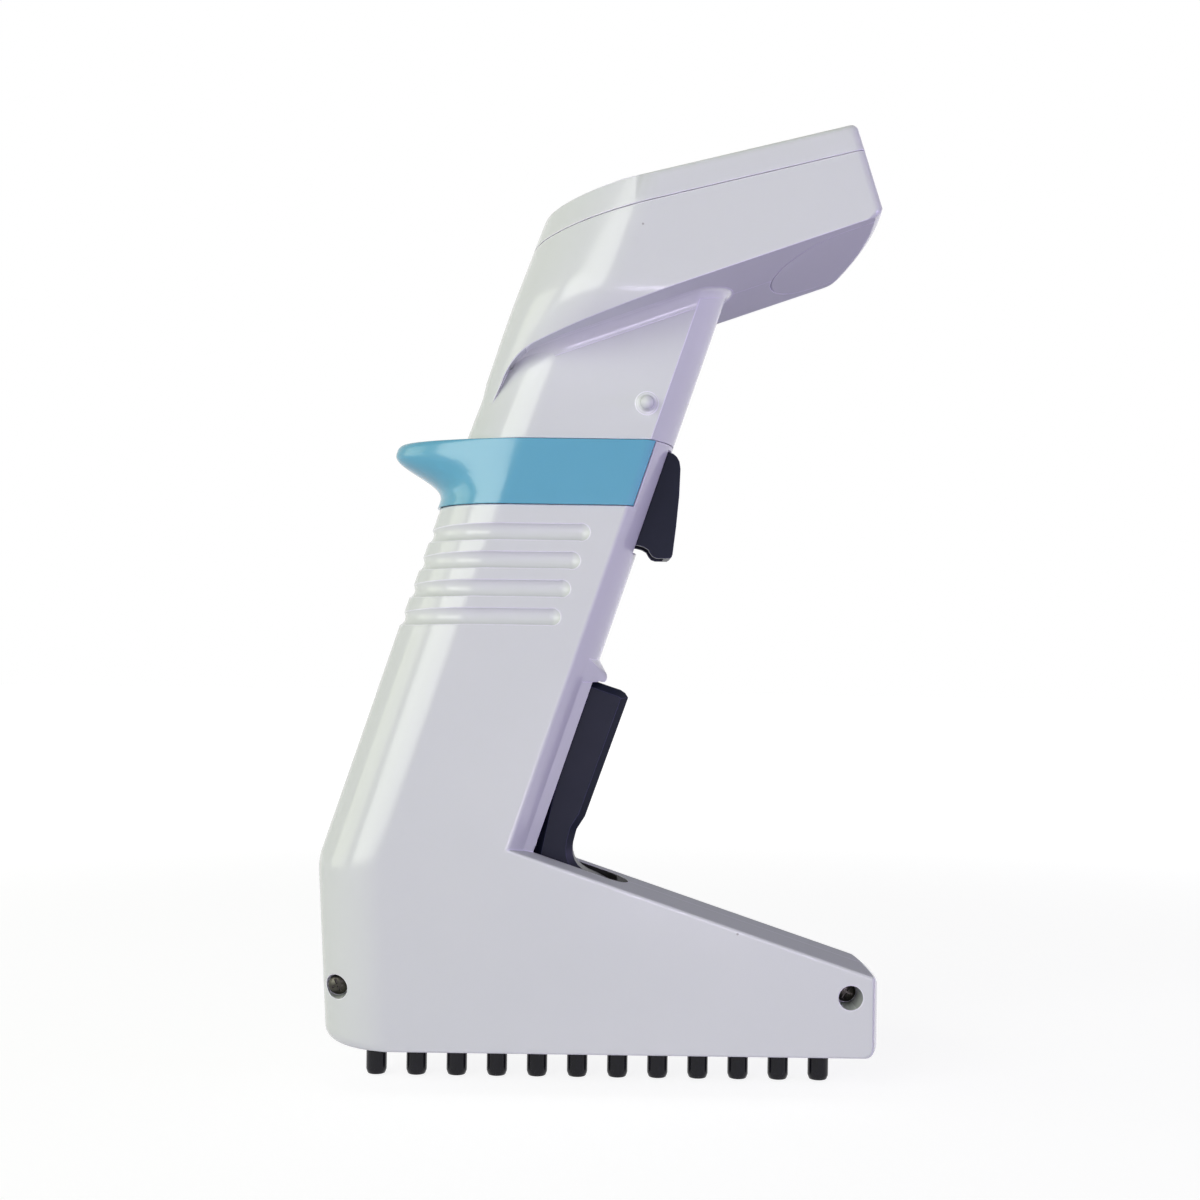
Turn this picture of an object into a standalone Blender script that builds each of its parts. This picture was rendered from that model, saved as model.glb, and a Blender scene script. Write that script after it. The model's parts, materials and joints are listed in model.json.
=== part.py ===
# Electronic twelve-channel pipette, modelled as the pieces that it is assembled from.
# Sizes are in millimetres. +X runs from the palm side to the front, along the nozzle row,
# +Z is up and z = 0 is the level of the nozzle ends. The casing splits at y = 0.

import math

import bmesh
import bpy
from mathutils import Matrix

MM = 0.001

# Channels
CHANNELS = 12
PITCH = 9.0
ROW_MID_X = 0.6
NOZZLE_R = 2.3
NOZZLE_TIP_R = 1.9
NOZZLE_TAPER = 0.9
NOZZLE_LENGTH = 13.4
NOZZLE_BORE_R = 1.0
BORE_LENGTH = 9.2
CYLINDER_R = 1.8
CYLINDER_CONE = 0.4
PISTON_R = 1.5
PISTON_CLEARANCE = 0.5

# Walls, clearances and the lengths by which cutting forms run past a face
WALL = 2.4
GAP = 0.3
SLOT_PLAY = 0.35
OVERSHOOT = 4.0
JOIN_DEPTH = 1.0

# Grip and base, the lower casing
BODY_HALF = 15.0
BACK_STRETCH = 0.5
HEEL_MARGIN = 13.5
TOE_MARGIN = 9.7
GRIP_LEAN = 0.3335
GRIP_DEPTH = 41.6
NOSE_BULGE = 5.6
HEEL_Z = 48.1
BASE_BOTTOM_Z = 8.0
BASE_DRAFT = 0.055
BASE_BOTTOM_ROUND = 3.5
TOE_BULGE = 2.6
TOE_ROUND = 5.0
TOE_BOTTOM_ROUND = 1.8
TOE_EDGE = 0.8
INNER_ROUND = 0.5
LEAN_FACTOR = 1.055
SLOPE_Z_AT_0 = 45.5
SLOPE_FALL = 0.3344
SLOPE_CROWN = 2.3
CASING_SEAM_Z = 140.6

# Finger hook and the channel that it sits in
RING_HEIGHT = 14.1
RING_PROUD = 0.6
RING_CHANNEL_DEPTH = 1.2
RING_WRAP = 1.15
RING_CHAMFER = 2.1
RING_CHAMFER_WIDTH = 1.4
HOOK_REACH = 13.5
HOOK_ROOT_RISE = 1.5
HOOK_FULL_DROP = 2.0
HOOK_EDGE = 1.2
HOOK_HOLLOW = 1.1

# Grip grooves
GROOVES = 4
GROOVE_TOP_DROP = 20.4
GROOVE_PITCH = 6.1
GROOVE_TUBE_R = 2.0
GROOVE_END_R = 2.1
GROOVE_TUBE_OUT = 1.1
GROOVE_END_INSET = 9.6

# Head
HEAD_HALF = 30.0
HEAD_CORNER_R = 23.0
HEAD_SLOPE = 0.2493
HEAD_REACH = 82.0
HEAD_END_LEAN = 5.0
HEAD_RISE = 44.5
HEAD_END_HEIGHT = 19.2
HEAD_END_BULGE = 2.0
HEAD_END_ROUND = 3.0
HEAD_EDGE_ROUND = 1.4
HEAD_LIP_HEIGHT = 1.2
HEAD_LIP_LENGTH = 1.6
HEAD_FLOOR_SLOPE = 0.353
COVER_HEIGHT = 5.85
COVER_THICKNESS = 2.2
NECK_STEP = 0.55
NECK_LEAN = 0.371
NECK_TOP_DEPTH = 2.0
SCOOP_FROM_NECK = 15.9
SCOOP_R = 12.0
SCOOP_TAIL = 1.5
FLARE_FOOT_RISE = 6.1
FLARE_HEIGHT = 25.0
HEAD_PROUD = 0.3

# Keys, display and electronics, measured along the head from its front end
WINDOW_START = 9.5
WINDOW_LENGTH = 28.0
WINDOW_HALF = 19.0
LENS_LEDGE = 2.0
LENS_THICKNESS = 0.9
KEY_ROWS = 2
KEY_COLUMNS = 3
KEY_START = 42.0
KEY_ROW_PITCH = 8.4
KEY_COLUMN_PITCH = 13.0
KEY_LENGTH = 6.2
KEY_WIDTH = 9.2
KEY_PROUD = 0.8
KEY_ROUND = 0.8
KEY_TRAVEL = 0.6
KEY_FLANGE = 0.7
KEY_SKIRT = 0.8
BOARD_START = 6.0
BOARD_MARGIN = 1.4
BOARD_THICKNESS = 1.2
MAIN_BOARD_HALF = 20.0
MODULE_MARGIN = 1.5
MODULE_THICKNESS = 3.0
BATTERY_THICKNESS = 6.5
BATTERY_LENGTH = 30.0
BATTERY_HALF = 22.0
BATTERY_ROUND = 1.5
BUZZER_FROM_BATTERY = 8.0
BUZZER_SIZE = 9.0
BUZZER_THICKNESS = 3.5
BUZZER_ROUND = 2.5
BUZZER_Y = -10.0
DOOR_LENGTH = 18.5
DOOR_HALF = 25.0
DOOR_EDGE = 1.8
DOOR_THICKNESS = 1.0

# Trigger, its outline being measured from its pin
TRIGGER_HALF = 5.8
TRIGGER_PIN_DROP = 4.6
TRIGGER_PIN_DEPTH = 5.7
TRIGGER_HUB_R = 3.0
TRIGGER_BOSS_R = 3.0
TRIGGER_TOP = 3.3
TRIGGER_BACK = (
    (3.6, -20.7), (2.4, -20.1), (1.6, -18.5), (-0.4, -17.6), (-3.8, -17.0), (-5.4, -15.4),
    (-4.2, -4.5), (-2.8, 2.0), (-1.4, TRIGGER_TOP),
)
TRIGGER_FACE = (
    (6.2, TRIGGER_TOP), (7.5, 2.7), (8.4, 1.4), (8.7, -0.4), (8.5, -6.3), (7.9, -13.2), (7.1, -20.2),
    (6.5, -20.8),
)
TRIGGER_HOLLOW = ((-6.4, -22.0), (5.2, -22.0), (6.0, -13.1), (6.4, -5.0), (0.6, -4.6), (-5.4, -5.0))
TRIGGER_SHELL = 1.6
TRIGGER_EDGE = 0.7
TRIGGER_WELL_DEPTH = 10.0
TRIGGER_WELL_FOOT = -19.1
PIN_R = 1.5
PIN_HALF = 8.6
SWITCH_FROM_PIN = (-12.2, -13.5)
SWITCH_WIDTH = 6.4
SWITCH_HEIGHT = 9.0
SWITCH_HALF = 4.0
SWITCH_POST_R = 2.2

# Ejector lever, its outline being measured from its pin
LEVER_HALF = 5.8
LEVER_PIN_FORWARD = 15.4
LEVER_PIN_DEPTH = 5.8
LEVER_HUB_R = 2.5
LEVER_BOSS_R = 2.6
LEVER_RISE = 47.2
LEVER_STANDOUT = 9.2
LEVER_EDGE = 0.9
LEVER_BEND = (15.5, (-6.7, 12.5), (-7.2, 9.9), (-6.9, 7.5), (-5.2, 5.3), (-1.4, 3.5))
LEVER_ARM_FRONT = -5.6
LEVER_ARM_MIDDLE = -15.6
LEVER_ARM_TOP = ((-18.6, 3.9), (-16.1, 6.5))
LEVER_ARM_ROUND = 1.6
LEVER_TOP_DEPTH = 4.0
LEVER_WELL_DEPTH = 9.0
SLOT_CORNER_R = 1.2
SLOT_STEP = 0.05
BEZEL_FROM_SIDE = 4.5
BEZEL_TAPER = 2.5
BEZEL_RIM = 1.3
BEZEL_PROUD = 0.1
BEZEL_SINK = 0.6
BEZEL_DEPTH = 3.0
BEZEL_RISE = 2.0
HOOD_RISE = 4.7
HOOD_STANDOUT = 3.0
HOOD_MARGIN = 0.9
HOOD_DEPTH = 8.0

# Ejector frame and springs
YOKE_FROM_DRIVE = 8.5
YOKE_HALF_X = 2.5
YOKE_HEIGHT = 3.0
YOKE_END = 1.5
LEG_FROM_WALL = 3.8
YOKE_LEG_R = 1.3
PLATE_THICKNESS = 1.5
PLATE_RECESS = 0.2
SPRING_R = 2.4
SPRING_WIRE_R = 0.4
SPRING_TURNS = 6
SPRING_STEPS = 8

# Piston drive
DRIVE_FROM_HEEL = 28.9
DRIVE_TRAVEL = 5.0
SCREW_R = 2.0
SCREW_TOP = 0.6
NUT_R = 4.2
NUT_LENGTH = 17.2
ROD_FROM_WALL = 3.3
ROD_R = 1.5
ROD_SINK = 3.9
BLOCK_HALF = 6.0
BLOCK_HEIGHT = 5.7
FLANGE_REAR = 5.5
FLANGE_FRONT = 5.0
STRIP_REAR = 3.2
STRIP_FRONT = 1.4
STRIP_HALF = 4.8
SEAL_THICKNESS = 1.0
RETAINER_THICKNESS = 1.2
BOLT_CHANNEL = 4
BOLT_R = 1.0
BOLT_HEAD_R = 1.8
BOLT_HEAD_HEIGHT = 1.4
BOLT_SINK = 0.1
CARRIER_HALF = 3.4
CARRIER_THICKNESS = 2.8
EAR_HALF_X = 3.6
EAR_HEIGHT = 5.8
BRACKET_Z = 54.0
BRACKET_THICKNESS = 2.0
BRACKET_HALF_X = 12.5
MOTOR_R = 10.0
MOTOR_HEIGHT = 24.0
MOTOR_WALL = 1.4
ROTOR_END_GAP = 1.0

# Casing screws
SEAT_REAR = 5.8
SEAT_FRONT = 5.0
SEAT_RISE = 13.1
SCREW_HEAD_R = 2.2
SCREW_HEAD_HEIGHT = 1.8
SCREW_SOCKET_R = 1.0
SCREW_SOCKET_DEPTH = 1.0
SCREW_SHANK_R = 1.3
SCREW_END_Y = 8.6
SCREW_BOSS_R = 2.75
COUNTERBORE_R = 2.65
COUNTERBORE_WALL = 1.05
COUNTERBORE_BASE = 1.6
COUNTERBORE_FLOOR_Y = 6.2

# Stand peg
PEG_FORWARD = 40.0
PEG_RISE = 7.6
PEG_R = 1.4
PEG_LENGTH = 2.8
PEG_FOOT_R = 2.4
PEG_FOOT_HEIGHT = 0.6
PEG_ROUND = 1.2
PEG_ROOT = 0.8

# How finely round forms are divided
ROUND_STEPS = 16
HOLE_STEPS = 12
BACK_STEPS = 16
FRONT_STEPS = 8
BODY_STATIONS = 8
HOOK_LEVELS = 6
FLARE_LEVELS = 7
HEAD_BACK_STEPS = 8
DOOR_STEPS = 12
FLAT_LIMIT = 0.001

# Places that follow from the sizes above
BACK_ROUND = BODY_HALF + BACK_STRETCH
ROOM_HALF = BODY_HALF - WALL - GAP
YOKE_LEG_Y = ROOM_HALF - LEG_FROM_WALL
YOKE_HALF_Y = ROOM_HALF - YOKE_END
ROD_Y = ROOM_HALF - ROD_FROM_WALL
ROW_LENGTH = PITCH * (CHANNELS - 1)
HEEL_X = ROW_MID_X - ROW_LENGTH / 2 - HEEL_MARGIN
TOE_X = ROW_MID_X + ROW_LENGTH / 2 + TOE_MARGIN
SEAT_Z = BASE_BOTTOM_Z + SEAT_RISE
SCREW_SEATS = ((HEEL_X + SEAT_REAR, SEAT_Z), (TOE_X - SEAT_FRONT, SEAT_Z))
RING_BOTTOM_Z = CASING_SEAM_Z - RING_HEIGHT
UPPER_Z = CASING_SEAM_Z + GAP
NECK_BACK_X = HEEL_X + GRIP_LEAN * (UPPER_Z - HEEL_Z) + NECK_STEP
HEAD_TOP_X = NECK_BACK_X + HEAD_REACH
HEAD_FLOOR_X = HEAD_TOP_X + HEAD_END_LEAN
HEAD_FLOOR_Z = UPPER_Z + HEAD_RISE
HEAD_TOP_Z = HEAD_FLOOR_Z + HEAD_END_HEIGHT
HEAD_ANGLE = math.atan(HEAD_SLOPE)
FLARE_FOOT_Z = UPPER_Z + FLARE_FOOT_RISE
DRIVE_X = HEEL_X + DRIVE_FROM_HEEL
YOKE_X = DRIVE_X + YOKE_FROM_DRIVE
PLATE_Z = BASE_BOTTOM_Z + PLATE_RECESS
BLOCK_Z = PLATE_Z + PLATE_THICKNESS + GAP
SEAL_Z = BLOCK_Z + BLOCK_HEIGHT + GAP
RETAINER_Z = SEAL_Z + SEAL_THICKNESS + GAP
CARRIER_Z = RETAINER_Z + RETAINER_THICKNESS + GAP
FAR = HEAD_TOP_Z + HEAD_REACH


def start_scene():
    for thing in list(bpy.data.objects):
        bpy.data.objects.remove(thing, do_unlink=True)
    parts = bpy.data.collections.new("electronic_multichannel_pipette")
    bpy.context.scene.collection.children.link(parts)
    return parts


PARTS = start_scene()


def finish_material(name, colour, roughness, metallic=0.0):
    made = bpy.data.materials.new(name)
    made.use_nodes = True
    shader = made.node_tree.nodes["Principled BSDF"]
    shader.inputs["Base Color"].default_value = (*colour, 1.0)
    shader.inputs["Roughness"].default_value = roughness
    shader.inputs["Metallic"].default_value = metallic
    return made


CASING = finish_material("casing_white", (0.62, 0.64, 0.66), 0.3)
BLUE = finish_material("hook_blue", (0.11, 0.36, 0.56), 0.3)
NAVY = finish_material("control_navy", (0.02, 0.022, 0.04), 0.4)
BLACK = finish_material("nozzle_black", (0.012, 0.012, 0.014), 0.25)
GLASS = finish_material("display_lens", (0.05, 0.06, 0.07), 0.08)
DISPLAY = finish_material("display_grey", (0.3, 0.34, 0.31), 0.4)
KEY_GREY = finish_material("key_grey", (0.3, 0.32, 0.35), 0.45)
BOARD = finish_material("board_green", (0.02, 0.16, 0.07), 0.5)
CELL = finish_material("battery_film", (0.1, 0.14, 0.4), 0.35)
STEEL = finish_material("steel", (0.55, 0.56, 0.58), 0.25, 1.0)
BRASS = finish_material("magnet_grey", (0.2, 0.2, 0.22), 0.4, 0.8)
RUBBER = finish_material("seal_rubber", (0.03, 0.03, 0.03), 0.7)
ACETAL = finish_material("acetal", (0.75, 0.75, 0.72), 0.4)


def solid_from(bm, name="work"):
    bmesh.ops.recalc_face_normals(bm, faces=bm.faces)
    mesh = bpy.data.meshes.new(name)
    bm.to_mesh(mesh)
    bm.free()
    made = bpy.data.objects.new(name, mesh)
    bpy.context.scene.collection.objects.link(made)
    return made


def loft(rings):
    # Closed rings with the same number of points, joined one to the next and capped
    bm = bmesh.new()
    rows = [[bm.verts.new((x * MM, y * MM, z * MM)) for x, y, z in ring] for ring in rings]
    count = len(rows[0])
    sides = []
    for low, high in zip(rows, rows[1:]):
        for i in range(count):
            j = (i + 1) % count
            sides.append(bm.faces.new((low[i], low[j], high[j], high[i])))
    bm.faces.new(rows[0])
    bm.faces.new(rows[-1])
    bmesh.ops.connect_verts_nonplanar(bm, angle_limit=FLAT_LIMIT, faces=sides)
    return solid_from(bm)


def box(low, high):
    bm = bmesh.new()
    bmesh.ops.create_cube(bm, size=1.0)
    size = [(b - a) * MM for a, b in zip(low, high)]
    middle = [(a + b) / 2 * MM for a, b in zip(low, high)]
    bmesh.ops.scale(bm, vec=size, verts=bm.verts)
    bmesh.ops.translate(bm, vec=middle, verts=bm.verts)
    return solid_from(bm)


def rods(radius, start, end, places, axis="Z", steps=ROUND_STEPS):
    # Round bars along one axis, one at each place in the plane across it
    bm = bmesh.new()
    turn = Matrix.Rotation(-math.pi / 2, 4, "X") if axis == "Y" else Matrix.Identity(4)
    for a, b in places:
        middle = (start + end) / 2
        centre = (a, middle, b) if axis == "Y" else (a, b, middle)
        place = Matrix.Translation([value * MM for value in centre]) @ turn
        bmesh.ops.create_cone(
            bm,
            cap_ends=True,
            segments=steps,
            radius1=radius * MM,
            radius2=radius * MM,
            depth=(end - start) * MM,
            matrix=place,
        )
    return solid_from(bm)


def ball(radius, centre):
    bm = bmesh.new()
    place = Matrix.Translation([value * MM for value in centre])
    bmesh.ops.create_uvsphere(bm, u_segments=12, v_segments=8, radius=radius * MM, matrix=place)
    return solid_from(bm)


def to_mesh(thing, weld=0.000001):
    # The evaluated shape of an object with curves or modifiers, as a plain mesh object
    graph = bpy.context.evaluated_depsgraph_get()
    mesh = bpy.data.meshes.new_from_object(thing.evaluated_get(graph))
    bm = bmesh.new()
    bm.from_mesh(mesh)
    bmesh.ops.remove_doubles(bm, verts=bm.verts, dist=weld)
    bmesh.ops.recalc_face_normals(bm, faces=bm.faces)
    bm.to_mesh(mesh)
    bm.free()
    mesh.transform(thing.matrix_world)
    made = bpy.data.objects.new("work", mesh)
    bpy.context.scene.collection.objects.link(made)
    bpy.data.objects.remove(thing, do_unlink=True)
    return made


def curve_object(points, cyclic, dimensions):
    data = bpy.data.curves.new("outline", "CURVE")
    data.dimensions = dimensions
    line = data.splines.new("POLY")
    line.points.add(len(points) - 1)
    for point, place in zip(line.points, points):
        point.co = (*(value * MM for value in place), 1.0)
    line.use_cyclic_u = cyclic
    made = bpy.data.objects.new("outline", data)
    bpy.context.scene.collection.objects.link(made)
    return made


def side_plate(outline, half, middle_y=0.0):
    # A flat outline in the X-Z plane, given thickness along Y
    made = curve_object([(x, z, 0.0) for x, z in outline], True, "2D")
    made.data.fill_mode = "BOTH"
    made.data.extrude = half * MM
    made.matrix_world = Matrix.Translation((0, middle_y * MM, 0)) @ Matrix.Rotation(math.pi / 2, 4, "X")
    bpy.context.view_layer.update()
    return to_mesh(made)


def plan_plate(outline, low_z, high_z):
    # A flat outline in the X-Y plane, given thickness along Z
    made = curve_object([(x, y, 0.0) for x, y in outline], True, "2D")
    made.data.fill_mode = "BOTH"
    made.data.extrude = (high_z - low_z) / 2 * MM
    made.matrix_world = Matrix.Translation((0, 0, (low_z + high_z) / 2 * MM))
    bpy.context.view_layer.update()
    return to_mesh(made)


def tube(points, radius):
    made = curve_object(points, False, "3D")
    made.data.bevel_depth = radius * MM
    made.data.bevel_resolution = 2
    made.data.use_fill_caps = True
    bpy.context.view_layer.update()
    return to_mesh(made)


def turned(profile, steps=ROUND_STEPS):
    # A closed profile at +X, swept round the Z axis
    mesh = bpy.data.meshes.new("profile")
    points = [(r * MM, 0.0, z * MM) for r, z in profile]
    count = len(points)
    mesh.from_pydata(points, [(i, (i + 1) % count) for i in range(count)], [])
    made = bpy.data.objects.new("profile", mesh)
    bpy.context.scene.collection.objects.link(made)
    screw = made.modifiers.new("turn", "SCREW")
    screw.steps = steps
    screw.render_steps = steps
    screw.use_merge_vertices = True
    screw.merge_threshold = 0.00001
    bpy.context.view_layer.update()
    return to_mesh(made)


def combine(thing, tool, operation):
    change = thing.modifiers.new("combine", "BOOLEAN")
    change.operation = operation
    change.solver = "EXACT"
    change.object = tool
    bpy.context.view_layer.update()
    made = to_mesh(thing)
    bpy.data.objects.remove(tool, do_unlink=True)
    return made


def join(thing, tool):
    return combine(thing, tool, "UNION")


def cut(thing, tool):
    return combine(thing, tool, "DIFFERENCE")


def keep(thing, tool):
    return combine(thing, tool, "INTERSECT")


def copy_of(thing):
    made = bpy.data.objects.new("work", thing.data.copy())
    bpy.context.scene.collection.objects.link(made)
    return made


def soften(thing, width, segments=2, angle=35.0):
    round_off = thing.modifiers.new("soften", "BEVEL")
    round_off.width = width * MM
    round_off.segments = segments
    round_off.limit_method = "ANGLE"
    round_off.angle_limit = math.radians(angle)
    bpy.context.view_layer.update()
    return to_mesh(thing)


def place_part(thing, name, material, pivot=(0.0, 0.0, 0.0)):
    # Files the piece under its own name, with its origin on its joint
    shift = [value * MM for value in pivot]
    thing.data.transform(Matrix.Translation([-value for value in shift]))
    thing.location = shift
    thing.name = name
    thing.data.name = name
    thing.data.materials.clear()
    thing.data.materials.append(material)
    thing.data.shade_smooth()
    thing.data.set_sharp_from_angle(angle=math.radians(30))
    bpy.context.scene.collection.objects.unlink(thing)
    PARTS.objects.link(thing)
    return thing


def half_space(side):
    # Everything on one side of the split between the casing's halves
    if side < 0:
        return box((-FAR, -FAR, -FAR), (FAR, -GAP / 2, FAR))
    return box((-FAR, GAP / 2, -FAR), (FAR, FAR, FAR))


def arc(centre_x, centre_z, radius, start, end, steps):
    points = []
    for i in range(steps + 1):
        angle = math.radians(start + (end - start) * i / steps)
        points.append((centre_x + radius * math.cos(angle), centre_z + radius * math.sin(angle)))
    return points


# Outlines of the casing

def grip_back(z):
    return HEEL_X + GRIP_LEAN * (z - HEEL_Z)


def grip_crease(z):
    return grip_back(z) + GRIP_DEPTH


def grip_nose(z, y=0.0):
    return grip_crease(z) + NOSE_BULGE * (1 - (y / BODY_HALF) ** 2)


def neck_back(z):
    return NECK_BACK_X + NECK_LEAN * (z - UPPER_Z)


def round_back(z, inset=0.0, back=grip_back):
    # The round back of the grip, from one flat side to the other
    half = BODY_HALF - inset
    length = BACK_ROUND - inset
    centre = back(z) + BACK_ROUND
    points = []
    for i in range(BACK_STEPS + 1):
        angle = math.pi * i / BACK_STEPS
        points.append((centre - length * math.sin(angle), -half * math.cos(angle), z))
    return points


def grip_outline(z, inset=0.0, back=grip_back):
    # Round back, flat sides and a bowed front, as a level cut shows them
    half = BODY_HALF - inset
    points = round_back(z, inset, back)
    for i in range(FRONT_STEPS + 1):
        y = half * (1 - 2 * i / FRONT_STEPS)
        points.append((grip_nose(z, y) - inset * LEAN_FACTOR, y, z))
    return points


def base_back(z):
    return HEEL_X + BASE_DRAFT * (HEEL_Z - z)


def slope_z(x, y=0.0):
    return SLOPE_Z_AT_0 - SLOPE_FALL * x + SLOPE_CROWN * (1 - (y / BODY_HALF) ** 2)


def nose_foot(y, inset):
    # Where the front of the grip meets the top of the base, at one distance from the middle
    nose_x = grip_nose(0.0, y) - inset * LEAN_FACTOR
    z = (slope_z(nose_x, y) - inset * LEAN_FACTOR) / (1 + SLOPE_FALL * GRIP_LEAN)
    return nose_x + GRIP_LEAN * z, z


def lower_section(y, inset, bottom, top):
    # Grip and base as an upright cut along their length shows them
    half = BODY_HALF - inset
    across = min(abs(y) / half, 1.0)
    back_in = (BACK_ROUND - inset) * (1 - math.sqrt(1 - across**2)) + inset
    end_x = TOE_X + TOE_BULGE * (1 - (y / BODY_HALF) ** 2) - inset
    drop = inset * LEAN_FACTOR
    corner = max(TOE_ROUND * (1 - across**2), TOE_EDGE)
    foot = BASE_BOTTOM_ROUND if inset == 0 else INNER_ROUND
    toe = TOE_BOTTOM_ROUND if inset == 0 else INNER_ROUND
    foot_x = base_back(bottom + foot) + back_in + foot
    points = arc(foot_x, bottom + foot, foot, 270, 180, 3)
    points.append((base_back(HEEL_Z) + back_in, HEEL_Z))
    points.append((grip_back(top) + back_in, top))
    points.append((grip_nose(top, y) - drop, top))
    points.append(nose_foot(y, inset))
    corner_x = end_x - corner
    corner_z = slope_z(corner_x, y) - drop - corner * LEAN_FACTOR
    slope_turn = math.degrees(math.atan(SLOPE_FALL))
    points += arc(corner_x, corner_z, corner, 90 - slope_turn, 0, 4)
    points += arc(end_x - toe, bottom + toe, toe, 0, -90, 2)
    return [(x, y, z) for x, z in points]


def across_steps(half, count):
    return [half * math.sin(math.pi / 2 * i / count) for i in range(-count, count + 1)]


def lower_form(inset=0.0):
    # Grip and base as one outer or inner form
    extra = OVERSHOOT if inset else 0.0
    stations = across_steps(BODY_HALF - inset, BODY_STATIONS)
    bottom = BASE_BOTTOM_Z - extra
    top = CASING_SEAM_Z + extra
    return loft([lower_section(y, inset, bottom, top) for y in stations])


def trigger_pin_place():
    z = CASING_SEAM_Z - TRIGGER_PIN_DROP
    return grip_nose(z) - TRIGGER_PIN_DEPTH, z


def lever_pin_place():
    x = nose_foot(0.0, 0.0)[0] + LEVER_PIN_FORWARD
    return x, slope_z(x) - LEVER_PIN_DEPTH


TRIGGER_PIN = trigger_pin_place()
LEVER_PIN = lever_pin_place()
LEVER_TOP_Z = LEVER_PIN[1] + LEVER_RISE
YOKE_TOP_Z = LEVER_PIN[1] - GAP
SWITCH_CENTRE = (TRIGGER_PIN[0] + SWITCH_FROM_PIN[0], TRIGGER_PIN[1] + SWITCH_FROM_PIN[1])


def from_pin(pin, points):
    return [(pin[0] + x, pin[1] + z) for x, z in points]


def lever_top(x):
    # The lever's top end, square to the lean of the grip
    return LEVER_TOP_Z - GRIP_LEAN * (x - grip_nose(LEVER_TOP_Z))


def bezel():
    # The raised surround of the ejector lever, with the hood over the lever's top
    side = LEVER_HALF + BEZEL_RIM
    foot_half = BODY_HALF - BEZEL_FROM_SIDE
    back_half = foot_half - BEZEL_TAPER
    rings = []
    for z in (HEEL_Z - JOIN_DEPTH, LEVER_TOP_Z + BEZEL_RISE):
        rim = grip_nose(z) + BEZEL_PROUD
        foot = grip_nose(z, foot_half) - BEZEL_SINK
        back = foot - BEZEL_DEPTH
        rings.append([
            (foot, -foot_half, z), (rim, -side, z), (rim, side, z), (foot, foot_half, z),
            (back, back_half, z), (back, -back_half, z),
        ])
    surround = loft(rings)
    hood_z = LEVER_TOP_Z + HOOD_RISE
    crest = grip_nose(hood_z)
    eave_x = grip_nose(LEVER_TOP_Z) + HOOD_STANDOUT
    outline = [
        (crest - BEZEL_DEPTH, hood_z), (crest, hood_z), (eave_x + 0.1, LEVER_TOP_Z + 1.3),
        (eave_x + 0.1, LEVER_TOP_Z + 0.4), (eave_x - 0.4, LEVER_TOP_Z - 0.8),
        (eave_x - HOOD_DEPTH, LEVER_TOP_Z - 0.8),
    ]
    return join(surround, side_plate(outline, LEVER_HALF + HOOD_MARGIN))


def screw_bosses():
    floor = -COUNTERBORE_FLOOR_Y
    wide = rods(COUNTERBORE_R + COUNTERBORE_WALL, -BODY_HALF, floor + COUNTERBORE_BASE, SCREW_SEATS, "Y")
    slim = rods(SCREW_BOSS_R, floor, BODY_HALF, SCREW_SEATS, "Y")
    return join(wide, slim)


def pin_bosses(pivot, radius, inner_y):
    near = rods(radius, -BODY_HALF, -inner_y, [pivot], "Y")
    far = rods(radius, inner_y, BODY_HALF, [pivot], "Y")
    return join(near, far)


def groove_tools():
    tools = []
    for i in range(GROOVES):
        z = CASING_SEAM_Z - GROOVE_TOP_DROP - GROOVE_PITCH * i
        end_x = grip_crease(z) - GROOVE_END_INSET
        side = BODY_HALF + GROOVE_TUBE_OUT
        route = [(end_x, -side, z)] + round_back(z, -GROOVE_TUBE_OUT) + [(end_x, side, z)]
        tools.append(tube(route, GROOVE_TUBE_R))
        tools.append(ball(GROOVE_END_R, (end_x, -side, z)))
        tools.append(ball(GROOVE_END_R, (end_x, side, z)))
    return tools


def ring_channel():
    # The step round the grip's sides and back that the finger hook drops into
    low_z = RING_BOTTOM_Z - GAP
    high_z = CASING_SEAM_Z + OVERSHOOT
    side = BODY_HALF + OVERSHOOT
    rings = []
    for z in (low_z, high_z):
        front = grip_crease(z) + RING_WRAP + GAP
        back = grip_back(z) - OVERSHOOT
        rings.append([(back, -side, z), (back, side, z), (front, side, z), (front, -side, z)])
    core = loft([grip_outline(z, RING_CHANNEL_DEPTH) for z in (low_z - OVERSHOOT, high_z + OVERSHOOT)])
    return cut(loft(rings), core)


def lever_slots():
    # An upright well behind the lever and a slot in the top of the base for its foot
    half = LEVER_HALF + SLOT_PLAY
    low_z = HEEL_Z - OVERSHOOT
    low_x = grip_nose(low_z)
    top_x = grip_nose(LEVER_TOP_Z)
    back_x = top_x - LEVER_WELL_DEPTH
    front_x = top_x + LEVER_STANDOUT
    upright = [
        (low_x - LEVER_WELL_DEPTH, low_z), (low_x + LEVER_STANDOUT + OVERSHOOT, low_z),
        (front_x, lever_top(front_x) + SLOT_PLAY), (back_x, lever_top(back_x) + SLOT_PLAY),
    ]
    well = side_plate(upright, half)
    end_x = LEVER_PIN[0] + LEVER_HUB_R + SLOT_PLAY
    corner = SLOT_CORNER_R
    half -= SLOT_STEP
    outline = [(low_x - OVERSHOOT, -half)]
    outline += arc(end_x - corner, corner - half, corner, -90, 0, 4)
    outline += arc(end_x - corner, half - corner, corner, 0, 90, 4)
    outline += [(low_x - OVERSHOOT, half)]
    return well, plan_plate(outline, LEVER_PIN[1] - JOIN_DEPTH, HEEL_Z + 3 * OVERSHOOT)


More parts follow.
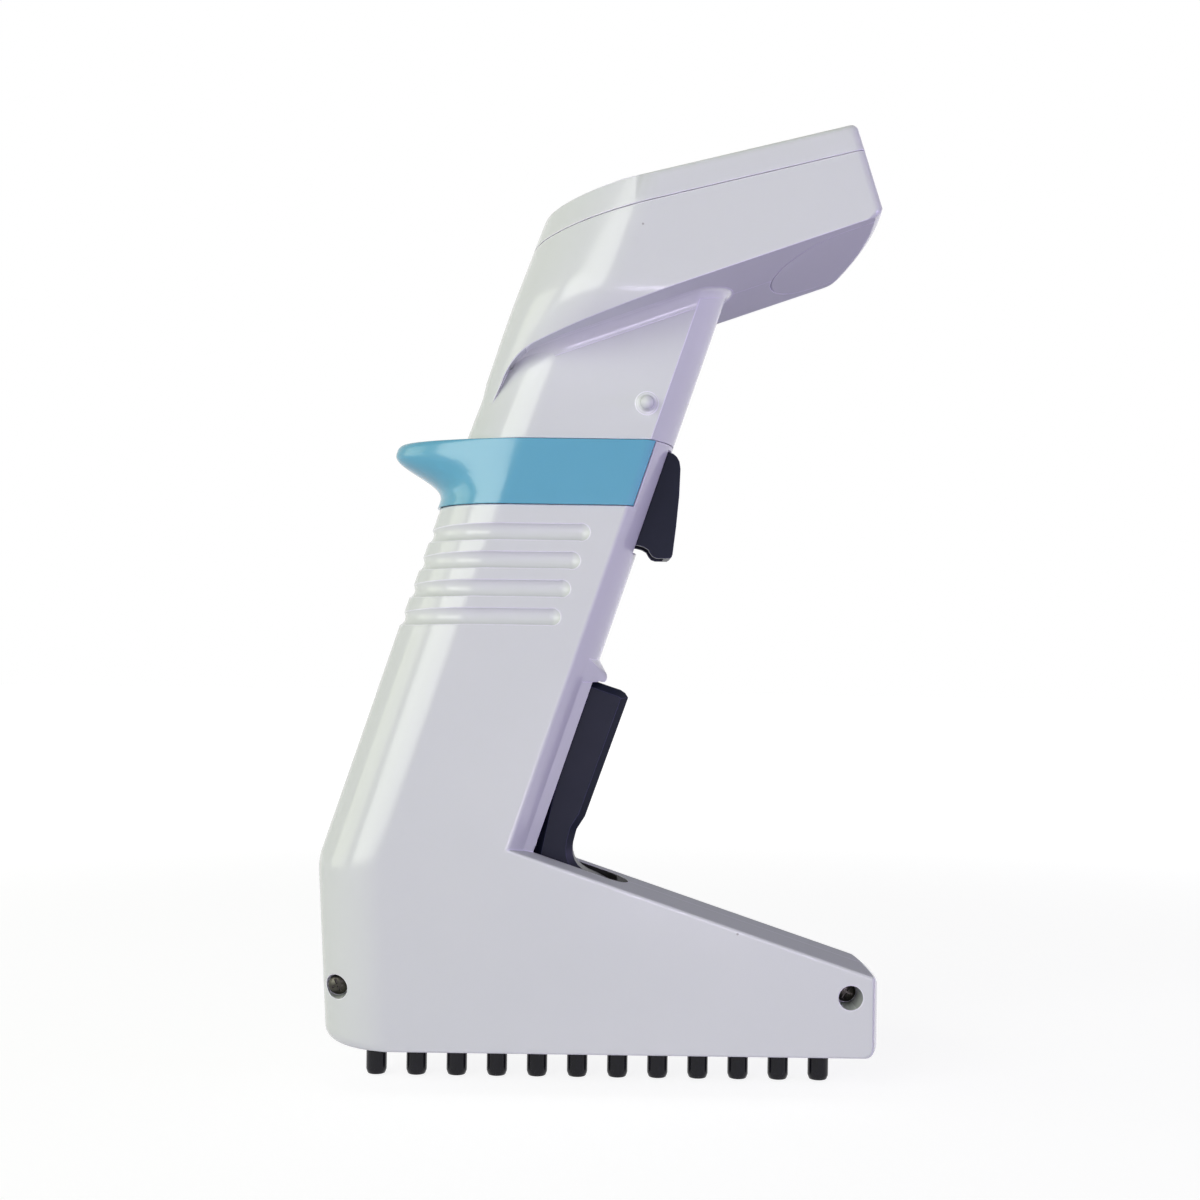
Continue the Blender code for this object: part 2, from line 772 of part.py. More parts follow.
def trigger_slot():
    outline = []
    for z, out in ((TRIGGER_WELL_FOOT, 1), (TRIGGER_TOP + SLOT_PLAY, -1)):
        level = TRIGGER_PIN[1] + z
        pair = [(grip_nose(level) - TRIGGER_WELL_DEPTH, level), (grip_nose(level) + OVERSHOOT, level)]
        outline += pair[::out]
    return side_plate(outline, TRIGGER_HALF + SLOT_PLAY)


def lower_housing():
    outer = join(lower_form(), bezel())
    cavity = lower_form(WALL)
    cavity = cut(cavity, screw_bosses())
    cavity = cut(cavity, pin_bosses(TRIGGER_PIN, TRIGGER_BOSS_R, TRIGGER_HALF + SLOT_PLAY))
    cavity = cut(cavity, pin_bosses(LEVER_PIN, LEVER_BOSS_R, LEVER_HALF + SLOT_PLAY))
    cavity = cut(cavity, pin_bosses(SWITCH_CENTRE, SWITCH_POST_R, SWITCH_HALF + GAP))
    shell = cut(outer, cavity)
    for tool in groove_tools():
        shell = cut(shell, tool)
    shell = cut(shell, ring_channel())
    for tool in lever_slots():
        shell = cut(shell, tool)
    shell = cut(shell, trigger_slot())
    floor = -COUNTERBORE_FLOOR_Y
    shell = cut(shell, rods(COUNTERBORE_R, -BODY_HALF - OVERSHOOT, floor, SCREW_SEATS, "Y"))
    shank_r = SCREW_SHANK_R + GAP
    shell = cut(shell, rods(shank_r, floor - JOIN_DEPTH, SCREW_END_Y + GAP, SCREW_SEATS, "Y", HOLE_STEPS))
    pin_end = PIN_HALF + GAP
    shell = cut(shell, rods(PIN_R + GAP, -pin_end, pin_end, [TRIGGER_PIN, LEVER_PIN], "Y"))
    right = keep(copy_of(shell), half_space(-1))
    left = keep(shell, half_space(1))
    place_part(right, "lower_housing_right", CASING)
    place_part(left, "lower_housing_left", CASING)


def hook_reach(z):
    # How far the horn behind the palm stands out at one level, with its upper edge rounded
    root = RING_BOTTOM_Z + HOOK_ROOT_RISE
    full = CASING_SEAM_Z - HOOK_FULL_DROP
    share = min(max((z - root) / (full - root), 0.0), 1.0) ** HOOK_HOLLOW
    over = max(z - (CASING_SEAM_Z - HOOK_EDGE), 0.0)
    edge_in = HOOK_EDGE - math.sqrt(max(HOOK_EDGE**2 - over**2, 0.0))
    return max(HOOK_REACH * share * share * (3 - 2 * share) - edge_in, 0.0)


def finger_hook():
    root = RING_BOTTOM_Z + HOOK_ROOT_RISE
    full = CASING_SEAM_Z - HOOK_FULL_DROP
    levels = [RING_BOTTOM_Z, root]
    levels += [root + (full - root) * i / HOOK_LEVELS for i in range(1, HOOK_LEVELS + 1)]
    levels += [CASING_SEAM_Z - HOOK_EDGE * share for share in (0.9, 0.4, 0.13, 0.0)]
    side = BODY_HALF + RING_PROUD
    tip_y = side - RING_CHAMFER_WIDTH
    rings = []
    for z in levels:
        reach = hook_reach(z)
        outline = [(x - reach * (1 - (y / side) ** 2), y, z) for x, y, z in round_back(z, -RING_PROUD)]
        front = grip_crease(z) + RING_WRAP
        flat_end = front - RING_CHAMFER
        outline += [(flat_end, side, z), (front, tip_y, z), (front, -tip_y, z), (flat_end, -side, z)]
        rings.append(outline)
    core_levels = (RING_BOTTOM_Z - OVERSHOOT, CASING_SEAM_Z + OVERSHOOT)
    core = loft([grip_outline(z, RING_CHANNEL_DEPTH - GAP) for z in core_levels])
    place_part(cut(loft(rings), core), "finger_hook", BLUE)


# The head

def flare(z):
    share = min(max((z - FLARE_FOOT_Z) / FLARE_HEIGHT, 0.0), 1.0)
    return share * share * (3 - 2 * share)


def head_outline(z, inset=0.0):
    # The widening back of the head, as a level cut shows it, open to the front
    wide = flare(z)
    proud = HEAD_PROUD * (2 * min(wide * 5, 1.0) - 1)
    half = BODY_HALF + (HEAD_HALF - BODY_HALF) * wide - inset
    half += min(proud, 0.0)
    slim = BACK_ROUND - JOIN_DEPTH
    corner = min(slim + (HEAD_CORNER_R - slim) * wide - inset, half - GAP)
    back = neck_back(z) - proud + inset * LEAN_FACTOR
    points = []
    for i in range(HEAD_BACK_STEPS + 1):
        angle = math.radians(90 * i / HEAD_BACK_STEPS)
        points.append((back + corner * (1 - math.sin(angle)), -half + corner * (1 - math.cos(angle)), z))
    points += [(x, -y, z) for x, y, z in reversed(points)]
    return points + [(FAR, half, z), (FAR, -half, z)]


def head_envelope(inset=0.0):
    levels = [UPPER_Z - JOIN_DEPTH]
    levels += [FLARE_FOOT_Z + FLARE_HEIGHT * i / FLARE_LEVELS for i in range(FLARE_LEVELS + 1)]
    levels += [HEAD_TOP_Z + OVERSHOOT]
    return loft([head_outline(z, inset) for z in levels])


def along_head(distance, depth=0.0):
    # A point at a distance back from the head's front top edge and a depth under its top
    cosine = math.cos(HEAD_ANGLE)
    sine = math.sin(HEAD_ANGLE)
    x = HEAD_TOP_X - distance * cosine + depth * sine
    z = HEAD_TOP_Z - distance * sine - depth * cosine
    return x, z


def floor_level(x):
    # The level of the head's sloping underside
    return HEAD_FLOOR_Z - HEAD_FLOOR_SLOPE * (HEAD_FLOOR_X - x)


def head_end_shift(y):
    # The front end bows forward in the middle and rounds off at the sides
    shift = HEAD_END_BULGE * (1 - (y / HEAD_HALF) ** 2)
    over = max(abs(y) - (HEAD_HALF - HEAD_END_ROUND), 0.0)
    return shift - (HEAD_END_ROUND - math.sqrt(max(HEAD_END_ROUND**2 - over**2, 0.0)))


def head_section(y, inset=0.0, top=0.0):
    shift = head_end_shift(y) - inset
    edge = HEAD_EDGE_ROUND
    over = max(abs(y) - (HEAD_HALF - edge), 0.0)
    crown = top + (edge - math.sqrt(max(edge**2 - over**2, 0.0)) if top == 0 else 0.0)
    lift = inset * math.hypot(1.0, HEAD_FLOOR_SLOPE)
    floor_x = HEAD_FLOOR_X + shift
    floor_z = floor_level(floor_x) + lift
    lip = HEAD_LIP_LENGTH
    points = [along_head(HEAD_REACH + OVERSHOOT, crown)]
    points += [along_head(-shift + edge, crown), along_head(-shift, crown + edge)]
    points.append((floor_x - lip / 4, floor_z + HEAD_LIP_HEIGHT))
    points.append((floor_x - lip, floor_z - lip * HEAD_FLOOR_SLOPE))
    tilt = math.atan(HEAD_FLOOR_SLOPE)
    lean = math.degrees(math.atan(NECK_LEAN))
    turn_x = NECK_BACK_X + SCOOP_FROM_NECK + inset
    centre_x = turn_x + SCOOP_R * math.sin(tilt)
    centre_z = floor_level(turn_x) + lift - SCOOP_R * math.cos(tilt)
    points += arc(centre_x, centre_z, SCOOP_R, 90 + math.degrees(tilt), 180 - lean, 6)
    tail_x, tail_z = points[-1]
    foot_z = UPPER_Z + 2 * GAP
    points.append((tail_x - (tail_z - foot_z) * NECK_LEAN - SCOOP_TAIL, foot_z))
    points.append((-FAR, foot_z))
    return [(x, y, z) for x, z in points]


def head_stations(inset=0.0):
    half = HEAD_HALF - inset
    edge = half - HEAD_END_ROUND
    outer = [half - HEAD_END_ROUND * share for share in (0.0, 0.07, 0.27, 0.7, 1.0)]
    outer += [edge * share for share in (0.67, 0.33)]
    return [-y for y in outer] + [0.0] + outer[::-1]


def head_form(inset=0.0, top=0.0):
    body = loft([head_section(y, inset, top) for y in head_stations(inset)])
    return keep(body, head_envelope(inset))


def head_slab(low_depth, high_depth):
    # Everything between two depths under the head's top face
    ends = [along_head(-FAR, high_depth), along_head(-FAR, low_depth)]
    ends += [along_head(FAR, low_depth), along_head(FAR, high_depth)]
    return side_plate(ends, FAR)


def head_block(start, end, half_y, low_depth, high_depth, middle_y=0.0, round_r=0.0):
    # A block lying along the head, from one distance to another
    outline = [(-start, -half_y), (-start, half_y), (-end, half_y), (-end, -half_y)]
    thing = plan_plate(outline, -low_depth, -high_depth)
    if round_r:
        thing = soften(thing, round_r, 1 if round_r < 1 else 2, 80)
    turn = Matrix.Translation((HEAD_TOP_X * MM, middle_y * MM, HEAD_TOP_Z * MM))
    turn = turn @ Matrix.Rotation(-HEAD_ANGLE, 4, "Y")
    thing.data.transform(turn)
    return thing


def key_places():
    places = []
    for row in range(KEY_ROWS):
        for column in range(KEY_COLUMNS):
            start = KEY_START + row * KEY_ROW_PITCH
            places.append((start, (column - (KEY_COLUMNS - 1) / 2) * KEY_COLUMN_PITCH))
    return places


def head_cover():
    shell = keep(head_form(), head_slab(COVER_HEIGHT - GAP / 2, -OVERSHOOT))
    shell = cut(shell, head_form(COVER_THICKNESS, COVER_THICKNESS))
    end = WINDOW_START + WINDOW_LENGTH
    through = COVER_THICKNESS + JOIN_DEPTH
    shell = cut(shell, head_block(WINDOW_START, end, WINDOW_HALF, through, -JOIN_DEPTH))
    ledge = LENS_LEDGE
    seat = LENS_THICKNESS + GAP
    shell = cut(shell, head_block(WINDOW_START - ledge, end + ledge, WINDOW_HALF + ledge, seat, -OVERSHOOT))
    for start, y in key_places():
        hole = head_block(start - GAP, start + KEY_LENGTH + GAP, KEY_WIDTH / 2 + GAP, through, -JOIN_DEPTH, y)
        shell = cut(shell, hole)
    place_part(shell, "head_cover", CASING)


def door_outline(grow):
    points = []
    centre = HEAD_FLOOR_X - DOOR_EDGE + grow
    for i in range(DOOR_STEPS + 1):
        angle = math.radians(90 + 180 * i / DOOR_STEPS)
        x = centre + (DOOR_LENGTH + 2 * grow) * math.cos(angle)
        points.append((x, (DOOR_HALF + grow) * math.sin(angle)))
    return points


def floor_plate(outline, low, high):
    # An outline on the head's underside, given thickness upward from that face
    thing = plan_plate(outline, 0.0, 1.0)
    for vertex in thing.data.vertices:
        level = low if vertex.co.z < 0.5 * MM else high
        vertex.co.z = (floor_level(vertex.co.x / MM) + level) * MM
    return thing


def stand_peg(side):
    tall = PEG_LENGTH
    profile = [(0.0, tall), (PEG_R * 0.6, tall - PEG_ROUND * 0.17), (PEG_R * 0.95, tall - PEG_ROUND * 0.67)]
    profile += [(PEG_R, tall - PEG_ROUND), (PEG_R, PEG_FOOT_HEIGHT), (PEG_FOOT_R, 0.0)]
    profile += [(PEG_FOOT_R, -PEG_ROOT), (0.0, -PEG_ROOT)]
    peg = turned(profile)
    centre = ((NECK_BACK_X + PEG_FORWARD) * MM, side * BODY_HALF * MM, (UPPER_Z + PEG_RISE) * MM)
    peg.data.transform(Matrix.Translation(centre) @ Matrix.Rotation(-side * math.pi / 2, 4, "X"))
    return peg


def upper_housing():
    tray = keep(head_form(), head_slab(FAR, COVER_HEIGHT + GAP / 2))
    neck_top = HEAD_FLOOR_Z - OVERSHOOT
    neck = loft([grip_outline(z, 0.0, neck_back) for z in (UPPER_Z, neck_top)])
    neck = keep(neck, head_slab(FAR, COVER_HEIGHT + NECK_TOP_DEPTH))
    shell = join(tray, neck)
    hollow = head_form(WALL, COVER_THICKNESS / 2)
    throat = loft([grip_outline(z, WALL, neck_back) for z in (UPPER_Z - OVERSHOOT, neck_top + WALL + GAP)])
    throat = keep(throat, head_slab(FAR, COVER_THICKNESS + 2 * GAP))
    shell = cut(shell, join(hollow, throat))
    shell = cut(shell, floor_plate(door_outline(GAP), -OVERSHOOT, DOOR_THICKNESS + GAP))
    shell = join(shell, stand_peg(-1))
    shell = join(shell, stand_peg(1))
    right = keep(copy_of(shell), half_space(-1))
    left = keep(shell, half_space(1))
    place_part(right, "upper_housing_right", CASING)
    place_part(left, "upper_housing_left", CASING)
    place_part(floor_plate(door_outline(0.0), 0.0, DOOR_THICKNESS), "battery_door", CASING)


def head_contents():
    end = WINDOW_START + WINDOW_LENGTH
    slack = LENS_LEDGE - GAP
    lens = head_block(WINDOW_START - slack, end + slack, WINDOW_HALF + slack, LENS_THICKNESS, 0.0)
    place_part(lens, "display_lens", GLASS)
    under = COVER_THICKNESS + GAP
    margin = MODULE_MARGIN
    module_low = under + MODULE_THICKNESS
    module = head_block(WINDOW_START - margin, end + margin, WINDOW_HALF + margin, module_low, under)
    place_part(module, "display_module", DISPLAY)
    key_floor = under + KEY_FLANGE
    for i, (start, y) in enumerate(key_places()):
        finish = start + KEY_LENGTH
        cap = head_block(start, finish, KEY_WIDTH / 2, under + KEY_FLANGE / 2, -KEY_PROUD, y, KEY_ROUND)
        skirt_half = KEY_WIDTH / 2 + KEY_SKIRT
        skirt = head_block(start - KEY_SKIRT, finish + KEY_SKIRT, skirt_half, key_floor, under, y)
        place_part(join(cap, skirt), "key_%d" % (i + 1), KEY_GREY)
    pad_top = key_floor + KEY_TRAVEL + GAP
    pad_low = pad_top + BOARD_THICKNESS
    keys_end = KEY_START + (KEY_ROWS - 1) * KEY_ROW_PITCH + KEY_LENGTH
    pad_half = (KEY_COLUMNS - 1) / 2 * KEY_COLUMN_PITCH + KEY_WIDTH / 2 + BOARD_MARGIN
    keypad = head_block(KEY_START - BOARD_MARGIN, keys_end + BOARD_MARGIN, pad_half, pad_low, pad_top)
    place_part(keypad, "keypad_board", BOARD)
    main_top = max(pad_low, module_low) + GAP
    main_low = main_top + BOARD_THICKNESS
    main = head_block(BOARD_START, keys_end, MAIN_BOARD_HALF, main_low, main_top)
    place_part(main, "main_board", BOARD)
    pack_top = main_low + GAP
    pack_end = BOARD_START + BATTERY_LENGTH
    pack_low = pack_top + BATTERY_THICKNESS
    pack = head_block(BOARD_START, pack_end, BATTERY_HALF, pack_low, pack_top, 0.0, BATTERY_ROUND)
    place_part(pack, "battery_pack", CELL)
    start = pack_end + BUZZER_FROM_BATTERY
    low = pack_top + BUZZER_THICKNESS
    buzzer = head_block(start, start + BUZZER_SIZE, BUZZER_SIZE / 2, low, pack_top, BUZZER_Y, BUZZER_ROUND)
    place_part(buzzer, "buzzer", BLACK)


# Controls on the grip

def trigger():
    outline = from_pin(TRIGGER_PIN, TRIGGER_FACE + TRIGGER_BACK)
    made = soften(side_plate(outline, TRIGGER_HALF), TRIGGER_EDGE, 2, 50)
    made = cut(made, side_plate(from_pin(TRIGGER_PIN, TRIGGER_HOLLOW), TRIGGER_HALF - TRIGGER_SHELL))
    made = join(made, rods(TRIGGER_HUB_R, -TRIGGER_HALF, TRIGGER_HALF, [TRIGGER_PIN], "Y"))
    past = TRIGGER_HALF + OVERSHOOT
    made = cut(made, rods(PIN_R + GAP, -past, past, [TRIGGER_PIN], "Y"))
    place_part(made, "trigger", NAVY, (TRIGGER_PIN[0], 0.0, TRIGGER_PIN[1]))
    place_part(rods(PIN_R, -PIN_HALF, PIN_HALF, [TRIGGER_PIN], "Y"), "trigger_pin", STEEL)
    x, z = SWITCH_CENTRE
    low = (x - SWITCH_WIDTH / 2, -SWITCH_HALF, z - SWITCH_HEIGHT / 2)
    high = (x + SWITCH_WIDTH / 2, SWITCH_HALF, z + SWITCH_HEIGHT / 2)
    place_part(box(low, high), "trigger_switch", BLACK)


def ejector_lever():
    pin_x, pin_z = LEVER_PIN
    tip_z = LEVER_TOP_Z - 2.8
    tip_x = grip_nose(tip_z) + LEVER_STANDOUT
    inner_x = grip_nose(LEVER_TOP_Z) - LEVER_TOP_DEPTH
    bend_z = pin_z + LEVER_BEND[0]
    outline = [
        (inner_x, lever_top(inner_x)), (tip_x - 3.0, lever_top(tip_x - 3.0)), (tip_x - 1.2, tip_z - 0.1),
        (tip_x - 0.4, tip_z - 1.0), (grip_nose(tip_z - 2.6) + LEVER_STANDOUT, tip_z - 2.6),
        (grip_nose(bend_z) + LEVER_STANDOUT - 0.4, bend_z),
    ]
    outline += from_pin(LEVER_PIN, LEVER_BEND[1:])
    outline += arc(pin_x, pin_z, LEVER_HUB_R, 70, -90, 6)
    arm_bottom = YOKE_TOP_Z + GAP
    round_z = arm_bottom + LEVER_ARM_ROUND
    end_x = YOKE_X - LEVER_ARM_ROUND / 2
    outline += [(pin_x + LEVER_ARM_FRONT, pin_z - LEVER_HUB_R), (pin_x + LEVER_ARM_MIDDLE, arm_bottom)]
    outline += [(end_x, arm_bottom)]
    outline += arc(end_x, round_z, LEVER_ARM_ROUND, 250, 110, 3)
    outline += from_pin((pin_x, arm_bottom), LEVER_ARM_TOP)
    outline += [(inner_x - 0.8, LEVER_TOP_Z - 2.0)]
    made = soften(side_plate(outline, LEVER_HALF), LEVER_EDGE, 2, 50)
    past = LEVER_HALF + OVERSHOOT
    made = cut(made, rods(PIN_R + GAP, -past, past, [LEVER_PIN], "Y"))
    place_part(made, "ejector_lever", NAVY, (pin_x, 0.0, pin_z))
    place_part(rods(PIN_R, -PIN_HALF, PIN_HALF, [LEVER_PIN], "Y"), "ejector_pin", STEEL)


def channel_places():
    first = ROW_MID_X - ROW_LENGTH / 2
    return [(first + PITCH * i, 0.0) for i in range(CHANNELS)]


def leg_places():
    return [(YOKE_X, -YOKE_LEG_Y), (YOKE_X, YOKE_LEG_Y)]


def rod_places():
    return [(DRIVE_X, -ROD_Y), (DRIVE_X, ROD_Y)]


def strip(half_y, low_z, high_z):
    # A bar along the channel row
    first = channel_places()[0][0]
    last = channel_places()[-1][0]
    return box((first - STRIP_REAR, -half_y, low_z), (last + STRIP_FRONT, half_y, high_z))


def ejector_frame():
    bar_low = YOKE_TOP_Z - YOKE_HEIGHT
    plate_top = PLATE_Z + PLATE_THICKNESS
    bar_half = YOKE_HALF_X
    bar = box((YOKE_X - bar_half, -YOKE_HALF_Y, bar_low), (YOKE_X + bar_half, YOKE_HALF_Y, YOKE_TOP_Z))
    yoke = join(bar, rods(YOKE_LEG_R, plate_top + GAP, bar_low + JOIN_DEPTH, leg_places(), "Z", HOLE_STEPS))
    place_part(yoke, "ejector_yoke", ACETAL)
    plate = plan_plate(plate_outline(WALL + GAP), PLATE_Z, plate_top)
    low = PLATE_Z - JOIN_DEPTH
    plate = cut(plate, rods(NOZZLE_R + GAP, low, plate_top + JOIN_DEPTH, channel_places()))
    place_part(plate, "ejector_plate", CASING)
    foot = SEAL_Z + SPRING_WIRE_R
    height = bar_low - GAP - SPRING_WIRE_R - foot
    steps = SPRING_TURNS * SPRING_STEPS
    for i, (x, y) in enumerate(leg_places()):
        coil = []
        for step in range(steps + 1):
            angle = 2 * math.pi * step / SPRING_STEPS
            z = foot + height * step / steps
            coil.append((x + SPRING_R * math.cos(angle), y + SPRING_R * math.sin(angle), z))
        place_part(tube(coil, SPRING_WIRE_R), "ejector_spring_%d" % (i + 1), STEEL)


def plate_outline(inset):
    # The mouth of the base in plan, drawn in by a wall and a clearance
    half = BODY_HALF - inset
    points = []
    for i in range(HOLE_STEPS + 1):
        angle = math.pi * i / HOLE_STEPS
        x = base_back(PLATE_Z) + BACK_ROUND - (BACK_ROUND - inset) * math.sin(angle)
        points.append((x, -half * math.cos(angle)))
    for i in range(FRONT_STEPS + 1):
        y = half * (1 - 2 * i / FRONT_STEPS)
        points.append((TOE_X + TOE_BULGE * (1 - (y / BODY_HALF) ** 2) - inset, y))
    return points


# Piston drive

def bolt_places():
    return [(ROW_MID_X - BOLT_CHANNEL * PITCH, 0.0), (ROW_MID_X + BOLT_CHANNEL * PITCH, 0.0)]


def drilled(thing, radius, places, low, high):
    return cut(thing, rods(radius, low, high, places, "Z", HOLE_STEPS))


def cylinder_parts():
    channels = channel_places()
    top = BLOCK_Z + BLOCK_HEIGHT
    past = top + JOIN_DEPTH
    below = BLOCK_Z - JOIN_DEPTH
    block = strip(BLOCK_HALF, BLOCK_Z, top)
    flange = box((DRIVE_X - FLANGE_REAR, -ROOM_HALF, BLOCK_Z), (YOKE_X + FLANGE_FRONT, ROOM_HALF, top))
    block = join(block, flange)
    block = drilled(block, NOZZLE_R + GAP, channels, below, NOZZLE_LENGTH + GAP)
    block = drilled(block, CYLINDER_R, channels, NOZZLE_LENGTH, past)
    block = drilled(block, YOKE_LEG_R + SLOT_PLAY, leg_places(), below, past)
    block = drilled(block, ROD_R + GAP, rod_places(), top - ROD_SINK - GAP, past)
    block = drilled(block, BOLT_R + GAP, bolt_places(), below, past)
    foot = BLOCK_Z + BOLT_SINK
    shoulder = foot + BOLT_HEAD_HEIGHT
    block = drilled(block, BOLT_HEAD_R + GAP, bolt_places(), below, shoulder + GAP)
    place_part(block, "cylinder_block", ACETAL)
    for name, material, low, thickness in (
        ("seal_strip", RUBBER, SEAL_Z, SEAL_THICKNESS),
        ("seal_retainer", STEEL, RETAINER_Z, RETAINER_THICKNESS),
    ):
        bar = strip(STRIP_HALF, low, low + thickness)
        bar = drilled(bar, PISTON_R + GAP, channels, low - JOIN_DEPTH, low + thickness + JOIN_DEPTH)
        bar = drilled(bar, BOLT_R + GAP, bolt_places(), low - JOIN_DEPTH, low + thickness + JOIN_DEPTH)
        place_part(bar, name, material)
    end = RETAINER_Z + RETAINER_THICKNESS - BOLT_SINK
    for i, (x, y) in enumerate(bolt_places()):
        profile = [(0, end), (BOLT_R, end), (BOLT_R, shoulder)]
        profile += [(BOLT_HEAD_R, shoulder), (BOLT_HEAD_R, foot), (0, foot)]
        bolt = turned(profile, HOLE_STEPS)
        bolt.data.transform(Matrix.Translation((x * MM, y * MM, 0)))
        place_part(bolt, "block_screw_%d" % (i + 1), STEEL)
    for i, place in enumerate(rod_places()):
        rod = rods(ROD_R, top - ROD_SINK, BRACKET_Z + BRACKET_THICKNESS, [place])
        place_part(rod, "guide_rod_%d" % (i + 1), STEEL)


def nozzles():
    profile = [
        (NOZZLE_R, NOZZLE_LENGTH), (NOZZLE_R, NOZZLE_TAPER), (NOZZLE_TIP_R, 0.0), (NOZZLE_BORE_R, 0.0),
        (NOZZLE_BORE_R, BORE_LENGTH), (CYLINDER_R, BORE_LENGTH + CYLINDER_CONE), (CYLINDER_R, NOZZLE_LENGTH),
    ]
    for i, (x, y) in enumerate(channel_places()):
        nozzle = turned(profile)
        nozzle.data.transform(Matrix.Translation((x * MM, y * MM, 0)))
        place_part(nozzle, "nozzle_%02d" % (i + 1), BLACK)


def piston_carrier():
    # The pistons and the nut in one piece, which the lead screw lifts
    drive = [(DRIVE_X, 0.0)]
    top = CARRIER_Z + EAR_HEIGHT
    nut_top = CARRIER_Z + NUT_LENGTH
    piston_foot = BORE_LENGTH + CYLINDER_CONE + PISTON_CLEARANCE
    bar = strip(CARRIER_HALF, CARRIER_Z, CARRIER_Z + CARRIER_THICKNESS)
    ear_half = ROOM_HALF - GAP
    ears = box((DRIVE_X - EAR_HALF_X, -ear_half, CARRIER_Z), (DRIVE_X + EAR_HALF_X, ear_half, top))
    bar = join(bar, ears)
    bar = join(bar, rods(NUT_R, CARRIER_Z, nut_top, drive))
    bar = join(bar, rods(PISTON_R, piston_foot, CARRIER_Z + 2 * GAP, channel_places(), "Z", 10))
    bar = drilled(bar, ROD_R + GAP, rod_places(), CARRIER_Z - JOIN_DEPTH, top + JOIN_DEPTH)
    bar = cut(bar, rods(SCREW_R + GAP, CARRIER_Z - GAP, nut_top + JOIN_DEPTH, drive))
    place_part(bar, "piston_carrier", ACETAL)


def motor():
    drive = [(DRIVE_X, 0.0)]
    bracket_top = BRACKET_Z + BRACKET_THICKNESS
    low = bracket_top + GAP
    high = low + MOTOR_HEIGHT
    centre = Matrix.Translation((DRIVE_X * MM, 0, 0))
    bore = SCREW_R + GAP
    half = BRACKET_HALF_X
    plate = box((DRIVE_X - half, -ROOM_HALF, BRACKET_Z), (DRIVE_X + half, ROOM_HALF, bracket_top))
    plate = drilled(plate, ROD_R + GAP, rod_places(), BRACKET_Z - JOIN_DEPTH, bracket_top + JOIN_DEPTH)
    plate = cut(plate, rods(bore, BRACKET_Z - JOIN_DEPTH, bracket_top + JOIN_DEPTH, drive))
    place_part(plate, "motor_bracket", STEEL)
    inner = MOTOR_R - MOTOR_WALL
    lid = high - MOTOR_WALL
    case = turned([(MOTOR_R, high), (MOTOR_R, low), (inner, low), (inner, lid), (bore, lid), (bore, high)], 32)
    case.data.transform(centre)
    place_part(case, "motor_case", STEEL)
    magnet = inner - GAP
    magnet_top = lid - ROTOR_END_GAP
    magnet_foot = low + ROTOR_END_GAP
    rotor = turned([(magnet, magnet_top), (magnet, magnet_foot), (bore, magnet_foot), (bore, magnet_top)], 24)
    rotor.data.transform(centre)
    place_part(rotor, "motor_rotor", BRASS)
    # The screw ends above the piston beside it, even with the carrier lifted
    screw_foot = CARRIER_Z + DRIVE_TRAVEL + GAP
    place_part(rods(SCREW_R, screw_foot, high + SCREW_TOP, drive), "lead_screw", STEEL)


def casing_screws():
    shoulder = -COUNTERBORE_FLOOR_Y - GAP
    top = shoulder - SCREW_HEAD_HEIGHT
    for i, place in enumerate(SCREW_SEATS):
        made = rods(SCREW_HEAD_R, top, shoulder, [place], "Y")
        made = join(made, rods(SCREW_SHANK_R, shoulder - GAP, SCREW_END_Y, [place], "Y", HOLE_STEPS))
        socket = rods(SCREW_SOCKET_R, top - JOIN_DEPTH, top + SCREW_SOCKET_DEPTH, [place], "Y", 6)
        place_part(cut(made, socket), "housing_screw_%d" % (i + 1), STEEL)


lower_housing()
finger_hook()
head_cover()
upper_housing()
head_contents()
trigger()
ejector_lever()
ejector_frame()
cylinder_parts()
nozzles()
piston_carrier()
motor()
casing_screws()
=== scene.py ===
import json
import math

import bmesh
import bpy
from mathutils import Matrix, Vector


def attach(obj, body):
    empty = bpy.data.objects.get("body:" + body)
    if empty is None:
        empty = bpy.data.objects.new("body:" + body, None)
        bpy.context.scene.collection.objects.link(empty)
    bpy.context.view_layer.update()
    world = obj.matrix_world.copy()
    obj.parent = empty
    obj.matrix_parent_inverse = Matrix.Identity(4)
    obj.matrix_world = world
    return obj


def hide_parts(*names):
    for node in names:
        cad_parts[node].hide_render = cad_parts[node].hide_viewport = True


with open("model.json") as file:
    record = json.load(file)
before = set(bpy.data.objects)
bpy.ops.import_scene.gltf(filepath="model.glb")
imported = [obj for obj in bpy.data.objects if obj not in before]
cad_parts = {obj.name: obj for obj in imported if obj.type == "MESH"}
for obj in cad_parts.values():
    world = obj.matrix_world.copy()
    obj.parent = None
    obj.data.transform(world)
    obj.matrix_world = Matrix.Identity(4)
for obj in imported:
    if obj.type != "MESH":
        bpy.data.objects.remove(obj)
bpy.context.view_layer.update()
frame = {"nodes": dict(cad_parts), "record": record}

# Everything is in millimetres here and turned into metres by the first value.
mm = 0.001
gap = 0.3  # between pieces that stand next to each other

cameraSettings = {
    "place": (-4.5, -365.0, 90.9),
    "lens": 48.8,
    "shift": (0.0167, 0.0583),
    "roll": 0.8,
}


# Camera

def makeCamera(settings):
    data = bpy.data.cameras.new("camera")
    data.sensor_width = 36.0
    data.lens = settings["lens"]
    data.shift_x, data.shift_y = settings["shift"]
    made = bpy.data.objects.new("camera", data)
    level = Matrix.Rotation(math.radians(90), 4, "X")
    roll = Matrix.Rotation(math.radians(settings["roll"]), 4, "Z")
    made.matrix_world = Matrix.Translation([value * mm for value in settings["place"]]) @ (level @ roll)
    bpy.context.scene.collection.objects.link(made)
    bpy.context.scene.camera = made


makeCamera(cameraSettings)
print("camera placed")


